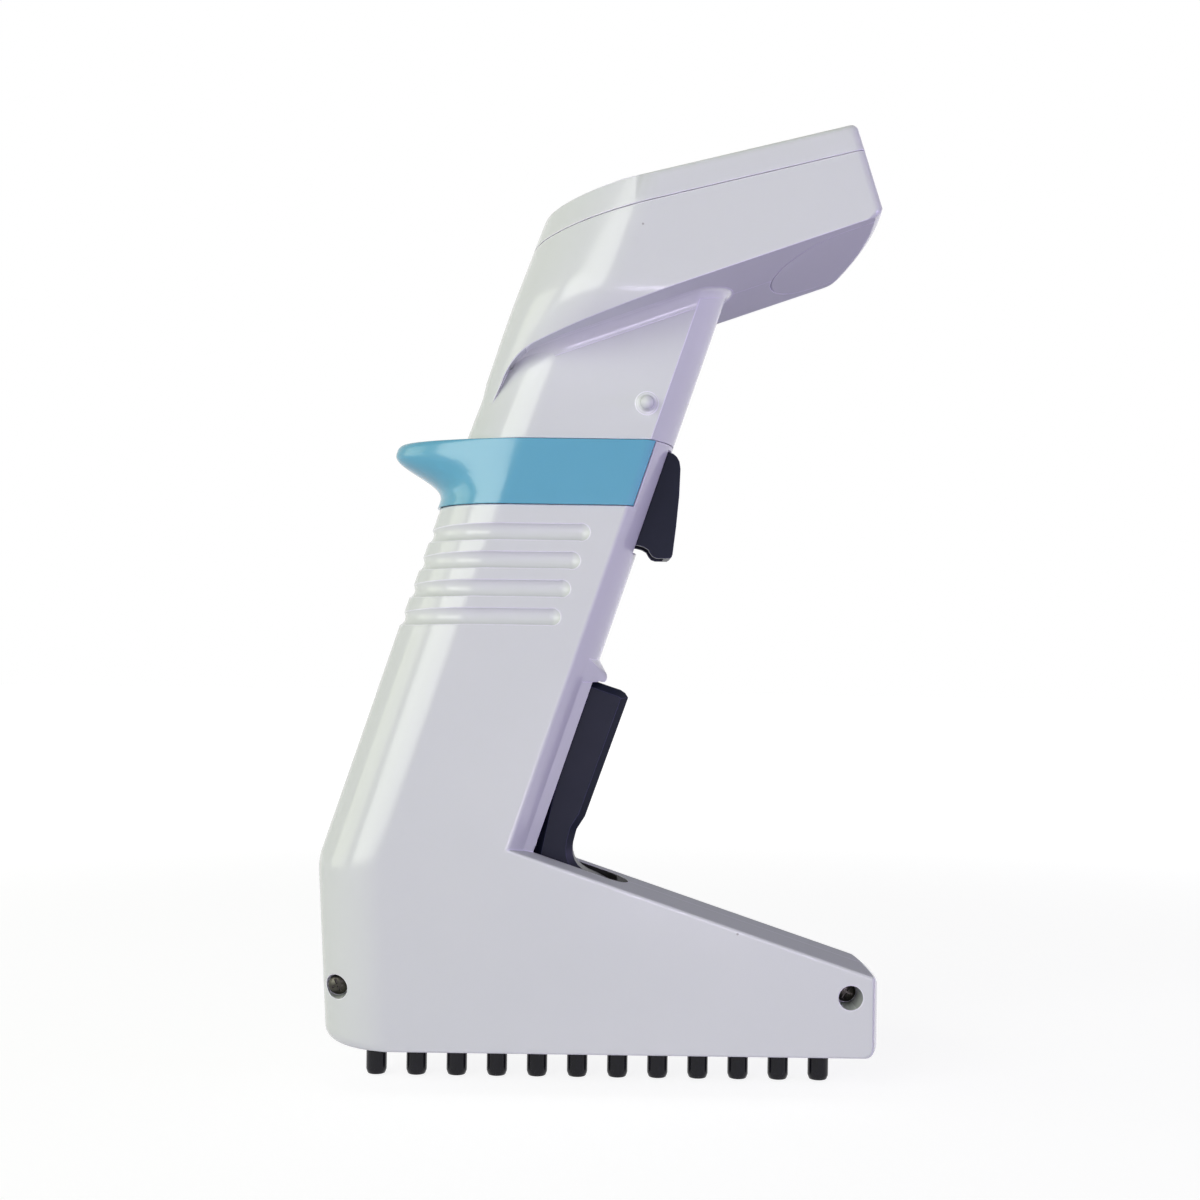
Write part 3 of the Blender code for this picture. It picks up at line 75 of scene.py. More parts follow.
# Mesh tools

def solidFrom(bm):
    bmesh.ops.recalc_face_normals(bm, faces=bm.faces)
    mesh = bpy.data.meshes.new("work")
    bm.to_mesh(mesh)
    bm.free()
    made = bpy.data.objects.new("work", mesh)
    bpy.context.scene.collection.objects.link(made)
    return made


def loft(rings):
    bm = bmesh.new()
    rows = [[bm.verts.new([value * mm for value in point]) for point in ring] for ring in rings]
    count = len(rows[0])
    sides = []
    for low, high in zip(rows, rows[1:]):
        for i in range(count):
            j = (i + 1) % count
            sides.append(bm.faces.new((low[i], low[j], high[j], high[i])))
    bm.faces.new(rows[0])
    bm.faces.new(rows[-1])
    bmesh.ops.connect_verts_nonplanar(bm, angle_limit=0.001, faces=sides)
    return solidFrom(bm)


def box(low, high):
    bm = bmesh.new()
    bmesh.ops.create_cube(bm, size=1.0)
    bmesh.ops.scale(bm, vec=[(b - a) * mm for a, b in zip(low, high)], verts=bm.verts)
    bmesh.ops.translate(bm, vec=[(a + b) / 2 * mm for a, b in zip(low, high)], verts=bm.verts)
    return solidFrom(bm)


def rods(radius, start, end, places, steps=32):
    # Round bars along Y
    bm = bmesh.new()
    for x, z in places:
        middle = Matrix.Translation((x * mm, (start + end) / 2 * mm, z * mm))
        place = middle @ Matrix.Rotation(math.pi / 2, 4, "X")
        bmesh.ops.create_cone(bm, cap_ends=True, segments=steps, radius1=radius * mm,
                              radius2=radius * mm, depth=(end - start) * mm, matrix=place)
    return solidFrom(bm)


def ball(radius, centre):
    bm = bmesh.new()
    place = Matrix.Translation([value * mm for value in centre])
    bmesh.ops.create_uvsphere(bm, u_segments=32, v_segments=20, radius=radius * mm, matrix=place)
    return solidFrom(bm)


def hullOf(points):
    bm = bmesh.new()
    for point in points:
        bm.verts.new([value * mm for value in point])
    made = bmesh.ops.convex_hull(bm, input=bm.verts)
    inner = [item for item in made["geom_interior"] if isinstance(item, bmesh.types.BMVert)]
    bmesh.ops.delete(bm, geom=inner, context="VERTS")
    bmesh.ops.remove_doubles(bm, verts=bm.verts, dist=0.0005 * mm)
    return solidFrom(bm)


def toMesh(thing):
    graph = bpy.context.evaluated_depsgraph_get()
    mesh = bpy.data.meshes.new_from_object(thing.evaluated_get(graph))
    bm = bmesh.new()
    bm.from_mesh(mesh)
    bmesh.ops.remove_doubles(bm, verts=bm.verts, dist=0.0005 * mm)
    bmesh.ops.recalc_face_normals(bm, faces=bm.faces)
    bm.to_mesh(mesh)
    bm.free()
    mesh.transform(thing.matrix_world)
    made = bpy.data.objects.new("work", mesh)
    bpy.context.scene.collection.objects.link(made)
    bpy.data.objects.remove(thing, do_unlink=True)
    return made


def outlineCurve(points, cyclic, dimensions):
    data = bpy.data.curves.new("outline", "CURVE")
    data.dimensions = dimensions
    line = data.splines.new("POLY")
    line.points.add(len(points) - 1)
    for point, place in zip(line.points, points):
        point.co = (*(value * mm for value in place), 1.0)
    line.use_cyclic_u = cyclic
    made = bpy.data.objects.new("outline", data)
    bpy.context.scene.collection.objects.link(made)
    return made


def sidePlate(outline, half):
    made = outlineCurve([(x, z, 0.0) for x, z in outline], True, "2D")
    made.data.fill_mode = "BOTH"
    made.data.extrude = half * mm
    made.matrix_world = Matrix.Rotation(math.pi / 2, 4, "X")
    bpy.context.view_layer.update()
    return toMesh(made)


def chamferedPlate(outline, half, width):
    made = outlineCurve([(x, z, 0.0) for x, z in outline], True, "2D")
    made.data.fill_mode = "BOTH"
    made.data.bevel_depth = width * mm
    made.data.bevel_resolution = 0
    made.data.offset = -width * mm
    made.data.extrude = (half - width) * mm
    made.matrix_world = Matrix.Rotation(math.pi / 2, 4, "X")
    bpy.context.view_layer.update()
    return toMesh(made)


def planPlate(outline, lowZ, highZ):
    made = outlineCurve([(x, y, 0.0) for x, y in outline], True, "2D")
    made.data.fill_mode = "BOTH"
    made.data.extrude = (highZ - lowZ) / 2 * mm
    made.matrix_world = Matrix.Translation((0, 0, (lowZ + highZ) / 2 * mm))
    bpy.context.view_layer.update()
    return toMesh(made)


def tube(points, radius):
    made = outlineCurve(points, False, "3D")
    made.data.bevel_depth = radius * mm
    made.data.bevel_resolution = 6
    made.data.use_fill_caps = True
    bpy.context.view_layer.update()
    return toMesh(made)


def turned(profile, steps=48):
    mesh = bpy.data.meshes.new("profile")
    count = len(profile)
    points = [(r * mm, 0.0, z * mm) for r, z in profile]
    mesh.from_pydata(points, [(i, (i + 1) % count) for i in range(count)], [])
    made = bpy.data.objects.new("profile", mesh)
    bpy.context.scene.collection.objects.link(made)
    spin = made.modifiers.new("turn", "SCREW")
    spin.steps = steps
    spin.render_steps = steps
    spin.use_merge_vertices = True
    spin.merge_threshold = 0.00001
    bpy.context.view_layer.update()
    return toMesh(made)


def combine(thing, tool, operation):
    change = thing.modifiers.new("combine", "BOOLEAN")
    change.operation = operation
    change.solver = "MANIFOLD"
    change.object = tool
    bpy.context.view_layer.update()
    made = toMesh(thing)
    bpy.data.objects.remove(tool, do_unlink=True)
    return made


def join(thing, tool):
    return combine(thing, tool, "UNION")


def cut(thing, tool):
    return combine(thing, tool, "DIFFERENCE")


def keep(thing, tool):
    return combine(thing, tool, "INTERSECT")


def copyOf(thing):
    made = bpy.data.objects.new("work", thing.data.copy())
    bpy.context.scene.collection.objects.link(made)
    return made


def soften(thing, width, segments=3, angle=35.0):
    roundOff = thing.modifiers.new("soften", "BEVEL")
    roundOff.width = width * mm
    roundOff.segments = segments
    roundOff.limit_method = "ANGLE"
    roundOff.angle_limit = math.radians(angle)
    bpy.context.view_layer.update()
    return toMesh(thing)


def merge(first, *others):
    # Puts several closed meshes into one object
    bm = bmesh.new()
    for thing in (first, *others):
        bm.from_mesh(thing.data)
    bm.to_mesh(first.data)
    bm.free()
    for thing in others:
        bpy.data.objects.remove(thing, do_unlink=True)
    return first


def arc(centreX, centreZ, radius, start, end, steps):
    points = []
    for i in range(steps + 1):
        angle = math.radians(start + (end - start) * i / steps)
        points.append((centreX + radius * math.cos(angle), centreZ + radius * math.sin(angle)))
    return points


def smoothStep(value):
    share = min(max(value, 0.0), 1.0)
    return share * share * (3 - 2 * share)


materials = {}


def finishPiece(thing, name, materialName, body, replaced=(), angle=38):
    thing.name = name
    thing.data.name = name
    thing.data.materials.clear()
    thing.data.materials.append(materials[materialName])
    thing.data.shade_smooth()
    thing.data.set_sharp_from_angle(angle=math.radians(angle))
    even = thing.modifiers.new("evenNormals", "WEIGHTED_NORMAL")
    even.keep_sharp = True
    even.weight = 90
    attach(thing, body)
    if replaced:
        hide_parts(*replaced)


# Materials

def addNode(tree, kind, **values):
    node = tree.nodes.new(kind)
    for key, value in values.items():
        if key in node.inputs:
            node.inputs[key].default_value = value
        else:
            setattr(node, key, value)
    return node


specks = {"scale": 130.0, "radius": 0.035, "above": 0.86, "colour": (0.18, 0.17, 0.15)}
levelFaces = (0.84, 0.92)  # how far a face has to look up or down to start and to be matt


def makePlastic(name, colour, second, roughness, roughSpread=0.06, patchScale=60.0, grainScale=2600.0,
                grainDepth=0.006, coat=0.0, coatRoughness=0.05, metallic=0.0, speck=0.0, edgeRadius=0.4,
                edgeHighlightTint=None, edgeHighlightWidth=0.4, specular=0.5, levelRoughness=0.0):
    made = bpy.data.materials.new(name)
    made.use_nodes = True
    tree = made.node_tree
    link = tree.links.new
    shader = tree.nodes["Principled BSDF"]
    shader.inputs["Metallic"].default_value = metallic
    shader.inputs["Coat Weight"].default_value = coat
    shader.inputs["Coat Roughness"].default_value = coatRoughness
    shader.inputs["Specular IOR Level"].default_value = specular
    place = addNode(tree, "ShaderNodeTexCoord")
    patches = addNode(tree, "ShaderNodeTexNoise", Scale=patchScale, Detail=4.0, Roughness=0.55)
    link(place.outputs["Object"], patches.inputs["Vector"])
    tint = addNode(tree, "ShaderNodeMix", data_type="RGBA")
    tint.inputs["A"].default_value = (*colour, 1)
    tint.inputs["B"].default_value = (*second, 1)
    link(patches.outputs["Fac"], tint.inputs["Factor"])
    colourOut = tint.outputs["Result"]
    if speck:
        dots = addNode(tree, "ShaderNodeTexVoronoi", Scale=specks["scale"], Randomness=1.0)
        link(place.outputs["Object"], dots.inputs["Vector"])
        pick = addNode(tree, "ShaderNodeMath", operation="LESS_THAN")
        pick.inputs[1].default_value = specks["radius"]
        link(dots.outputs["Distance"], pick.inputs[0])
        chance = addNode(tree, "ShaderNodeMath", operation="GREATER_THAN")
        chance.inputs[1].default_value = specks["above"]
        split = addNode(tree, "ShaderNodeSeparateColor")
        link(dots.outputs["Color"], split.inputs["Color"])
        link(split.outputs["Red"], chance.inputs[0])
        both = addNode(tree, "ShaderNodeMath", operation="MULTIPLY")
        link(pick.outputs[0], both.inputs[0])
        link(chance.outputs[0], both.inputs[1])
        strength = addNode(tree, "ShaderNodeMath", operation="MULTIPLY")
        strength.inputs[1].default_value = speck
        link(both.outputs[0], strength.inputs[0])
        marked = addNode(tree, "ShaderNodeMix", data_type="RGBA")
        marked.inputs["B"].default_value = (*specks["colour"], 1)
        link(strength.outputs[0], marked.inputs["Factor"])
        link(colourOut, marked.inputs["A"])
        colourOut = marked.outputs["Result"]
    if edgeHighlightTint:
        # Painted highlight: a paler colour along the edges, where the rounded normal leaves the true one
        point = addNode(tree, "ShaderNodeNewGeometry")
        rounded = addNode(tree, "ShaderNodeBevel", samples=8)
        rounded.inputs["Radius"].default_value = edgeHighlightWidth * mm
        alike = addNode(tree, "ShaderNodeVectorMath", operation="DOT_PRODUCT")
        link(point.outputs["Normal"], alike.inputs[0])
        link(rounded.outputs["Normal"], alike.inputs[1])
        ramp = addNode(tree, "ShaderNodeMapRange")
        ramp.inputs["From Min"].default_value = 0.998
        ramp.inputs["From Max"].default_value = 0.95
        link(alike.outputs["Value"], ramp.inputs["Value"])
        paintedEdgeHighlight = addNode(tree, "ShaderNodeMix", data_type="RGBA")
        paintedEdgeHighlight.inputs["B"].default_value = (*edgeHighlightTint, 1)
        link(ramp.outputs["Result"], paintedEdgeHighlight.inputs["Factor"])
        link(colourOut, paintedEdgeHighlight.inputs["A"])
        colourOut = paintedEdgeHighlight.outputs["Result"]
    link(colourOut, shader.inputs["Base Color"])
    wear = addNode(tree, "ShaderNodeTexNoise", Scale=patchScale * 3, Detail=5.0, Roughness=0.6)
    link(place.outputs["Object"], wear.inputs["Vector"])
    rough = addNode(tree, "ShaderNodeMapRange")
    rough.inputs["To Min"].default_value = max(roughness - roughSpread, 0.02)
    rough.inputs["To Max"].default_value = roughness + roughSpread
    link(wear.outputs["Fac"], rough.inputs["Value"])
    roughOut = rough.outputs["Result"]
    if levelRoughness:
        # The faces that look up or down have a finely textured, matt finish
        facing = addNode(tree, "ShaderNodeSeparateXYZ")
        link(place.outputs["Normal"], facing.inputs[0])
        level = addNode(tree, "ShaderNodeMath", operation="ABSOLUTE")
        link(facing.outputs["Z"], level.inputs[0])
        matt = addNode(tree, "ShaderNodeMapRange")
        matt.inputs["From Min"].default_value, matt.inputs["From Max"].default_value = levelFaces
        matt.inputs["To Max"].default_value = levelRoughness
        link(level.outputs[0], matt.inputs["Value"])
        either = addNode(tree, "ShaderNodeMath", operation="MAXIMUM")
        link(roughOut, either.inputs[0])
        link(matt.outputs["Result"], either.inputs[1])
        roughOut = either.outputs[0]
    link(roughOut, shader.inputs["Roughness"])
    grain = addNode(tree, "ShaderNodeTexNoise", Scale=grainScale, Detail=2.0)
    link(place.outputs["Object"], grain.inputs["Vector"])
    bump = addNode(tree, "ShaderNodeBump", Strength=0.35, Distance=grainDepth * mm)
    link(grain.outputs["Fac"], bump.inputs["Height"])
    if edgeRadius:
        edges = addNode(tree, "ShaderNodeBevel", samples=6)
        edges.inputs["Radius"].default_value = edgeRadius * mm
        link(edges.outputs["Normal"], bump.inputs["Normal"])
    link(bump.outputs["Normal"], shader.inputs["Normal"])
    materials[name] = made


# casingWhite's edge tint is a painted highlight: pale lilac lines along its edges
makePlastic("casingWhite", (0.60, 0.625, 0.62), (0.64, 0.66, 0.645), 0.15, 0.04, 30.0, 1800.0, 0.01,
            speck=0.55, edgeRadius=0.45, edgeHighlightTint=(0.86, 0.85, 0.93), specular=0.5, levelRoughness=0.8)
makePlastic("hookBlue", (0.08, 0.33, 0.465), (0.095, 0.365, 0.5), 0.22, 0.05, 40.0, 1800.0, 0.01,
            coat=0.3, coatRoughness=0.05)
# controlNavy's edge tint is a painted highlight: faint lilac lines along its edges
makePlastic("controlNavy", (0.005, 0.007, 0.017), (0.008, 0.01, 0.023), 0.38, 0.06, 70.0, 5000.0, 0.02,
            edgeHighlightTint=(0.05, 0.05, 0.11), edgeHighlightWidth=0.25, specular=0.15)
makePlastic("nozzleBlack", (0.005, 0.005, 0.007), (0.01, 0.01, 0.014), 0.14, 0.05, 90.0, 2500.0, 0.01,
            specular=0.25)
makePlastic("keyGrey", (0.33, 0.35, 0.38), (0.38, 0.4, 0.42), 0.5, 0.06, 80.0, 6000.0, 0.03)
# The switch's own black, and also the painted shade of the sheet in the lever's slot
makePlastic("innerBlackAndShade", (0.012, 0.012, 0.012), (0.02, 0.02, 0.02), 0.75, edgeRadius=0.2, specular=0.2)
makePlastic("acetal", (0.72, 0.72, 0.69), (0.76, 0.76, 0.74), 0.35, edgeRadius=0.2)
makePlastic("sealRubber", (0.02, 0.02, 0.02), (0.035, 0.035, 0.035), 0.7, edgeRadius=0.15)
makePlastic("boardGreen", (0.02, 0.13, 0.06), (0.03, 0.17, 0.08), 0.45, edgeRadius=0.1)
makePlastic("batteryFilm", (0.09, 0.12, 0.33), (0.12, 0.16, 0.4), 0.3, edgeRadius=0.3)
makePlastic("steel", (0.52, 0.53, 0.55), (0.62, 0.63, 0.64), 0.28, 0.08, 150.0, 4000.0, 0.02,
            metallic=1.0, edgeRadius=0.15)
makePlastic("darkSteel", (0.04, 0.038, 0.033), (0.07, 0.066, 0.056), 0.3, 0.08, 250.0, 4000.0, 0.02,
            metallic=0.9, edgeRadius=0.15)


def makeDisplay():
    # A liquid crystal panel, switched off, with its fine grid of dots
    made = bpy.data.materials.new("displayPanel")
    made.use_nodes = True
    tree = made.node_tree
    link = tree.links.new
    shader = tree.nodes["Principled BSDF"]
    place = addNode(tree, "ShaderNodeTexCoord")
    fine = addNode(tree, "ShaderNodeTexChecker", Scale=2600.0)
    link(place.outputs["Object"], fine.inputs["Vector"])
    fine.inputs["Color1"].default_value = (0.17, 0.2, 0.18, 1)
    fine.inputs["Color2"].default_value = (0.2, 0.235, 0.205, 1)
    link(fine.outputs["Color"], shader.inputs["Base Color"])
    cloud = addNode(tree, "ShaderNodeTexNoise", Scale=90.0)
    link(place.outputs["Object"], cloud.inputs["Vector"])
    rough = addNode(tree, "ShaderNodeMapRange")
    rough.inputs["To Min"].default_value = 0.22
    rough.inputs["To Max"].default_value = 0.36
    link(cloud.outputs["Fac"], rough.inputs["Value"])
    link(rough.outputs["Result"], shader.inputs["Roughness"])
    materials["displayPanel"] = made


def makeLens():
    made = bpy.data.materials.new("displayLens")
    made.use_nodes = True
    tree = made.node_tree
    link = tree.links.new
    shader = tree.nodes["Principled BSDF"]
    shader.inputs["Transmission Weight"].default_value = 1.0
    shader.inputs["IOR"].default_value = 1.47
    place = addNode(tree, "ShaderNodeTexCoord")
    smears = addNode(tree, "ShaderNodeTexNoise", Scale=55.0, Detail=6.0, Distortion=1.2)
    link(place.outputs["Object"], smears.inputs["Vector"])
    rough = addNode(tree, "ShaderNodeMapRange")
    rough.inputs["To Min"].default_value = 0.02
    rough.inputs["To Max"].default_value = 0.09
    link(smears.outputs["Fac"], rough.inputs["Value"])
    link(rough.outputs["Result"], shader.inputs["Roughness"])
    tint = addNode(tree, "ShaderNodeMix", data_type="RGBA")
    tint.inputs["A"].default_value = (0.86, 0.88, 0.87, 1)
    tint.inputs["B"].default_value = (0.93, 0.94, 0.93, 1)
    link(smears.outputs["Fac"], tint.inputs["Factor"])
    link(tint.outputs["Result"], shader.inputs["Base Color"])
    materials["displayLens"] = made


makeDisplay()
makeLens()
print("materials made")


# Forms of the casing

casing = {
    "half": 15.0,
    "backRound": 15.5,
    "gripLean": 0.3335,
    "gripDepth": 41.6,
    "noseBulge": 5.6,
    "heelX": -62.4,
    "heelZ": 48.1,
    "heelSoft": 2.4,
    "bottomZ": 8.0,
    "draft": 0.055,
    "footRound": 3.5,
    "toeX": 59.8,
    "toeBulge": 2.6,
    "toeRound": 5.0,
    "toeFoot": 1.8,
    "slopeZ": 45.5,
    "slopeFall": 0.3344,
    "slopeCrown": 0.5,
    "innerCrown": 1.5,  # of the cavity, which has to clear the piston carrier
    "seamZ": 140.6,
    "wall": 2.4,
    "wallLean": 1.05,  # the wall measured level through a leaning face
    "leanFactor": 1.055,
    "innerRound": 0.5,
    "edge": 0.55,
    "splitGap": 0.14,  # between the right and the left half
}

upperZ = casing["seamZ"] + gap
backSteps = 48  # points of an outline round the back of the grip
frontSteps = 24


def gripBack(z):
    return casing["heelX"] + casing["gripLean"] * (z - casing["heelZ"])


def gripCrease(z):
    return gripBack(z) + casing["gripDepth"]


def gripNose(z, y=0.0):
    return gripCrease(z) + casing["noseBulge"] * (1 - (y / casing["half"]) ** 2)


def neckBack(z):
    return head["neckBackX"] + head["neckLean"] * (z - upperZ)


def gripOutline(z, inset=0.0, back=gripBack):
    half = casing["half"] - inset
    length = casing["backRound"] - inset
    centre = back(z) + casing["backRound"]
    points = []
    for i in range(backSteps + 1):
        angle = math.pi * i / backSteps
        points.append((centre - length * math.sin(angle), -half * math.cos(angle), z))
    for i in range(frontSteps + 1):
        y = half * (1 - 2 * i / frontSteps)
        points.append((gripNose(z, y) - inset * casing["wallLean"], y, z))
    return points


def baseBack(z):
    return casing["heelX"] + casing["draft"] * (casing["heelZ"] - z)


def slopeZ(x, y=0.0, crown=casing["slopeCrown"]):
    return casing["slopeZ"] - casing["slopeFall"] * x + crown * (1 - (y / casing["half"]) ** 2)


def lowerSection(y, inset, bottom, top):
    half = casing["half"] - inset
    lean = casing["leanFactor"]
    across = min(abs(y) / half, 1.0)
    pull = 0.0
    if inset == 0:
        over = max(abs(y) - (half - casing["edge"]), 0.0)
        pull = casing["edge"] - math.sqrt(max(casing["edge"] ** 2 - over**2, 0.0))
    backIn = (casing["backRound"] - inset) * (1 - math.sqrt(1 - across**2)) + inset
    endX = casing["toeX"] + casing["toeBulge"] * (1 - (y / casing["half"]) ** 2) - inset - pull
    drop = (inset + pull) * lean
    corner = max(casing["toeRound"] * (1 - across**2), 0.8)
    crown = casing["slopeCrown"] if inset == 0 else casing["innerCrown"]
    foot = casing["footRound"] if inset == 0 else casing["innerRound"]
    toe = casing["toeFoot"] if inset == 0 else casing["innerRound"]
    low = bottom + pull
    footX = baseBack(low + foot) + backIn + foot
    points = arc(footX, low + foot, foot, 270, 180, 8)
    soft = casing["heelSoft"]
    heel = (baseBack(casing["heelZ"]) + backIn, casing["heelZ"])
    start = (baseBack(casing["heelZ"] - soft) + backIn, casing["heelZ"] - soft)
    end = (gripBack(casing["heelZ"] + soft) + backIn, casing["heelZ"] + soft)
    for i in range(6):
        t = i / 5
        first, second, third = (1 - t) ** 2, 2 * t * (1 - t), t * t
        points.append(tuple(first * a + second * b + third * c for a, b, c in zip(start, heel, end)))
    points.append((gripBack(top) + backIn, top))
    points.append((gripNose(top, y) - drop, top))
    noseX = gripNose(0.0, y) - drop
    footZ = (slopeZ(noseX, y, crown) - drop) / (1 + casing["slopeFall"] * casing["gripLean"])
    points.append((noseX + casing["gripLean"] * footZ, footZ))
    cornerX = endX - corner
    cornerZ = slopeZ(cornerX, y, crown) - drop - corner * lean
    turn = math.degrees(math.atan(casing["slopeFall"]))
    points += arc(cornerX, cornerZ, corner, 90 - turn, 0, 8)
    points += arc(endX - toe, low + toe, toe, 0, -90, 5)
    return [(x, y, z) for x, z in points]


def acrossSteps(half, count, fine):
    spots = {round(half * math.sin(math.pi / 2 * i / count), 4) for i in range(-count, count + 1)}
    if fine:
        for part in (1.0, 0.7, 0.45, 0.25, 0.1, 0.02):
            spots.add(round(half - casing["edge"] * part, 4))
            spots.add(round(casing["edge"] * part - half, 4))
    ordered = sorted(spots)
    kept = [ordered[0]]
    for y in ordered[1:-1]:
        if y - kept[-1] > 0.008 and ordered[-1] - y > 0.008:
            kept.append(y)
    return kept + [ordered[-1]]


def lowerForm(inset=0.0):
    # The cavity's tool runs out past both ends
    extra = 4.0 if inset else 0.0
    lowZ = casing["bottomZ"] - extra
    topZ = casing["seamZ"] + extra
    stations = acrossSteps(casing["half"] - inset, 12 if inset else 24, not inset)
    return loft([lowerSection(y, inset, lowZ, topZ) for y in stations])


lever = {
    "half": 5.8,
    "pivot": (1.635, 41.453),
    "hub": 2.5,
    "yokeTop": 41.2,
    "topZ": 88.65,
    "standout": 9.2,
    "hoodZ": 93.4,
    "hoodStandout": 3.0,
    "slotPlay": 0.35,
    "slotCorner": 1.2,
    "surroundHalf": 10.5,
    "surroundRim": 1.3,
    "mouthHalf": 7.0,
    "mouthEnd": 7.0,
    "mouthRound": 4.5,
    "mouthDepth": 4.5,
    "mouthDrop": 0.1,
    "shadeDepth": 3.0,
    "chamfer": 1.5,
}


def leverTop(x):
    return lever["topZ"] - casing["gripLean"] * (x - gripNose(lever["topZ"]))


def bezel():
    # The raised surround of the lever, with the hood over the lever's upper end
    lowZ = casing["heelZ"] - 1.0
    footHalf = lever["surroundHalf"]
    rimHalf = lever["half"] + lever["surroundRim"]
    rings = []
    for z in (lowZ, lever["topZ"] + 2.0):
        rim = gripNose(z) + 0.1
        foot = gripNose(z, footHalf) - 0.6
        rings.append([(foot, -footHalf, z), (rim, -rimHalf, z), (rim, rimHalf, z), (foot, footHalf, z),
                      (foot - 3.0, 8.0, z), (foot - 3.0, -8.0, z)])
    surround = loft(rings)
    topZ = lever["topZ"]
    hoodZ = lever["hoodZ"]
    lowZ = topZ - 0.4
    eave = gripNose(topZ) + lever["hoodStandout"]
    eaveHalf = lever["half"] - 1.0
    corners = [(gripNose(hoodZ + 0.4, footHalf) - 0.3, footHalf, hoodZ + 0.4),
               (gripNose(hoodZ, 5.0) - 0.1, 5.0, hoodZ),
               (gripNose(hoodZ) - 0.1, 0.0, hoodZ - 0.1)]
    for out, up in ((-0.1, 1.8), (0.15, 1.3), (0.2, 0.7), (0.05, 0.1), (-0.3, -0.3)):
        corners.append((eave + out, eaveHalf, topZ + up))
    corners += [(gripNose(lowZ) + 0.1, rimHalf, lowZ), (gripNose(lowZ, footHalf) - 0.6, footHalf, lowZ),
                (-8.0, 6.0, hoodZ - 0.6), (-8.0, 6.0, lowZ)]
    hood = hullOf([(x, side * y, z) for x, y, z in corners for side in (-1, 1)])
    return join(surround, hood)


grooves = {"count": 4, "topZ": 120.55, "pitch": 6.1, "tubeRadius": 2.15, "tubeOut": 1.1, "backOut": 0.45,
           "frontInset": 8.8}


def grooveTools():
    tools = []
    for i in range(grooves["count"]):
        z = grooves["topZ"] - grooves["pitch"] * i
        side = casing["half"] + grooves["tubeOut"]
        path = []
        for x, y, level in gripOutline(z, -grooves["tubeOut"])[:backSteps + 1]:
            path.append((x - grooves["backOut"] * (1 - (y / side) ** 2), y, level))
        endX = gripCrease(z) - grooves["frontInset"] + 3.0 - grooves["tubeRadius"]
        tools.append(tube([(endX, -side, z)] + path + [(endX, side, z)], grooves["tubeRadius"]))
        tools.append(ball(grooves["tubeRadius"] + 0.05, (endX, -side, z)))
        tools.append(ball(grooves["tubeRadius"] + 0.05, (endX, side, z)))
    return tools


hook = {
    "height": 14.1,
    "proud": 0.6,
    "channel": 1.2,
    "play": 0.14,
    "wrap": 1.15,
    "chamfer": 2.1,
    "reach": 13.5,
    "rootZ": 128.0,
    "fullZ": 138.6,
    "edge": 1.2,
    "hollow": 1.1,
}

ringBottomZ = casing["seamZ"] - hook["height"]


def ringChannel():
    # The groove round the top of the grip that holds the hook's band
    rings = []
    for z in (ringBottomZ - hook["play"], casing["seamZ"] + 2.0):
        front = gripCrease(z) + hook["wrap"] + hook["play"]
        back = gripBack(z) - 6.0
        rings.append([(back, -22, z), (back, 22, z), (front, 22, z), (front, -22, z)])
    around = loft(rings)
    core = loft([gripOutline(z, hook["channel"]) for z in (ringBottomZ - 2.4, casing["seamZ"] + 4)])
    return cut(around, core)


def mouthOutline(inset):
    half = lever["mouthHalf"] - inset
    endX = lever["mouthEnd"] - inset
    turn = lever["mouthRound"]
    backX = gripNose(casing["slopeZ"]) - 2.0 + 2 * inset
    outline = [(backX, -half)]
    outline += [(endX - turn + turn * math.sin(math.radians(a)), -half * math.cos(math.radians(a)))
                for a in range(0, 181, 10)]
    return outline + [(backX, half)]


def slopeMouth():
    # The wider mouth of the lever's slot in the sloping top, with a rounded end
    depth = lever["mouthDepth"]
    thing = planPlate(mouthOutline(0.0), 0.0, 1.0)
    for vertex in thing.data.vertices:
        level = slopeZ(vertex.co.x / mm)
        vertex.co.z = (level - depth if vertex.co.z < 0.5 * mm else level + 8.0) * mm
    return thing


def slotShadeSheet():
    # A dark sheet in the mouth that is painted shade, standing for the shadowed inside of the slot, with
    # room for the lever
    shadeSheet = planPlate(mouthOutline(0.05), 0.0, 1.0)
    for vertex in shadeSheet.data.vertices:
        level = slopeZ(vertex.co.x / mm, vertex.co.y / mm) - lever["mouthDrop"]
        vertex.co.z = (level - lever["shadeDepth"] if vertex.co.z < 0.5 * mm else level) * mm
    room = lever["half"] + lever["slotPlay"]
    passX = lever["pivot"][0] + lever["hub"] + lever["slotPlay"]
    corner = lever["chamfer"] + lever["slotPlay"]
    passage = [(-60.0, -room), (passX - corner, -room), (passX, corner - room), (passX, room - corner),
               (passX - corner, room), (-60.0, room)]
    return cut(shadeSheet, planPlate(passage, 20.0, 80.0))


def leverSlots():
    # The upright slot down the front of the grip, and the level one in the sloping top
    half = lever["half"] + lever["slotPlay"]
    lowZ = casing["heelZ"] - 3.0
    topX = gripNose(lever["topZ"])
    play = lever["slotPlay"]
    upright = [(gripNose(lowZ) - 9.0, lowZ), (gripNose(lowZ) + 12.0, lowZ),
               (topX + 9.0, leverTop(topX + 9.0) + play), (topX - 9.0, leverTop(topX - 9.0) + play)]
    front = sidePlate(upright, half)
    endX = lever["pivot"][0] + lever["hub"] + play
    corner = lever["slotCorner"]
    half -= 0.05
    outline = [(gripNose(lowZ) - 4.0, -half)]
    outline += arc(endX - corner, corner - half, corner, -90, 0, 8)
    outline += arc(endX - corner, half - corner, corner, 0, 90, 8)
    outline += [(gripNose(lowZ) - 4.0, half)]
    return front, planPlate(outline, lever["pivot"][1] - 1.0, casing["heelZ"] + 14.0)


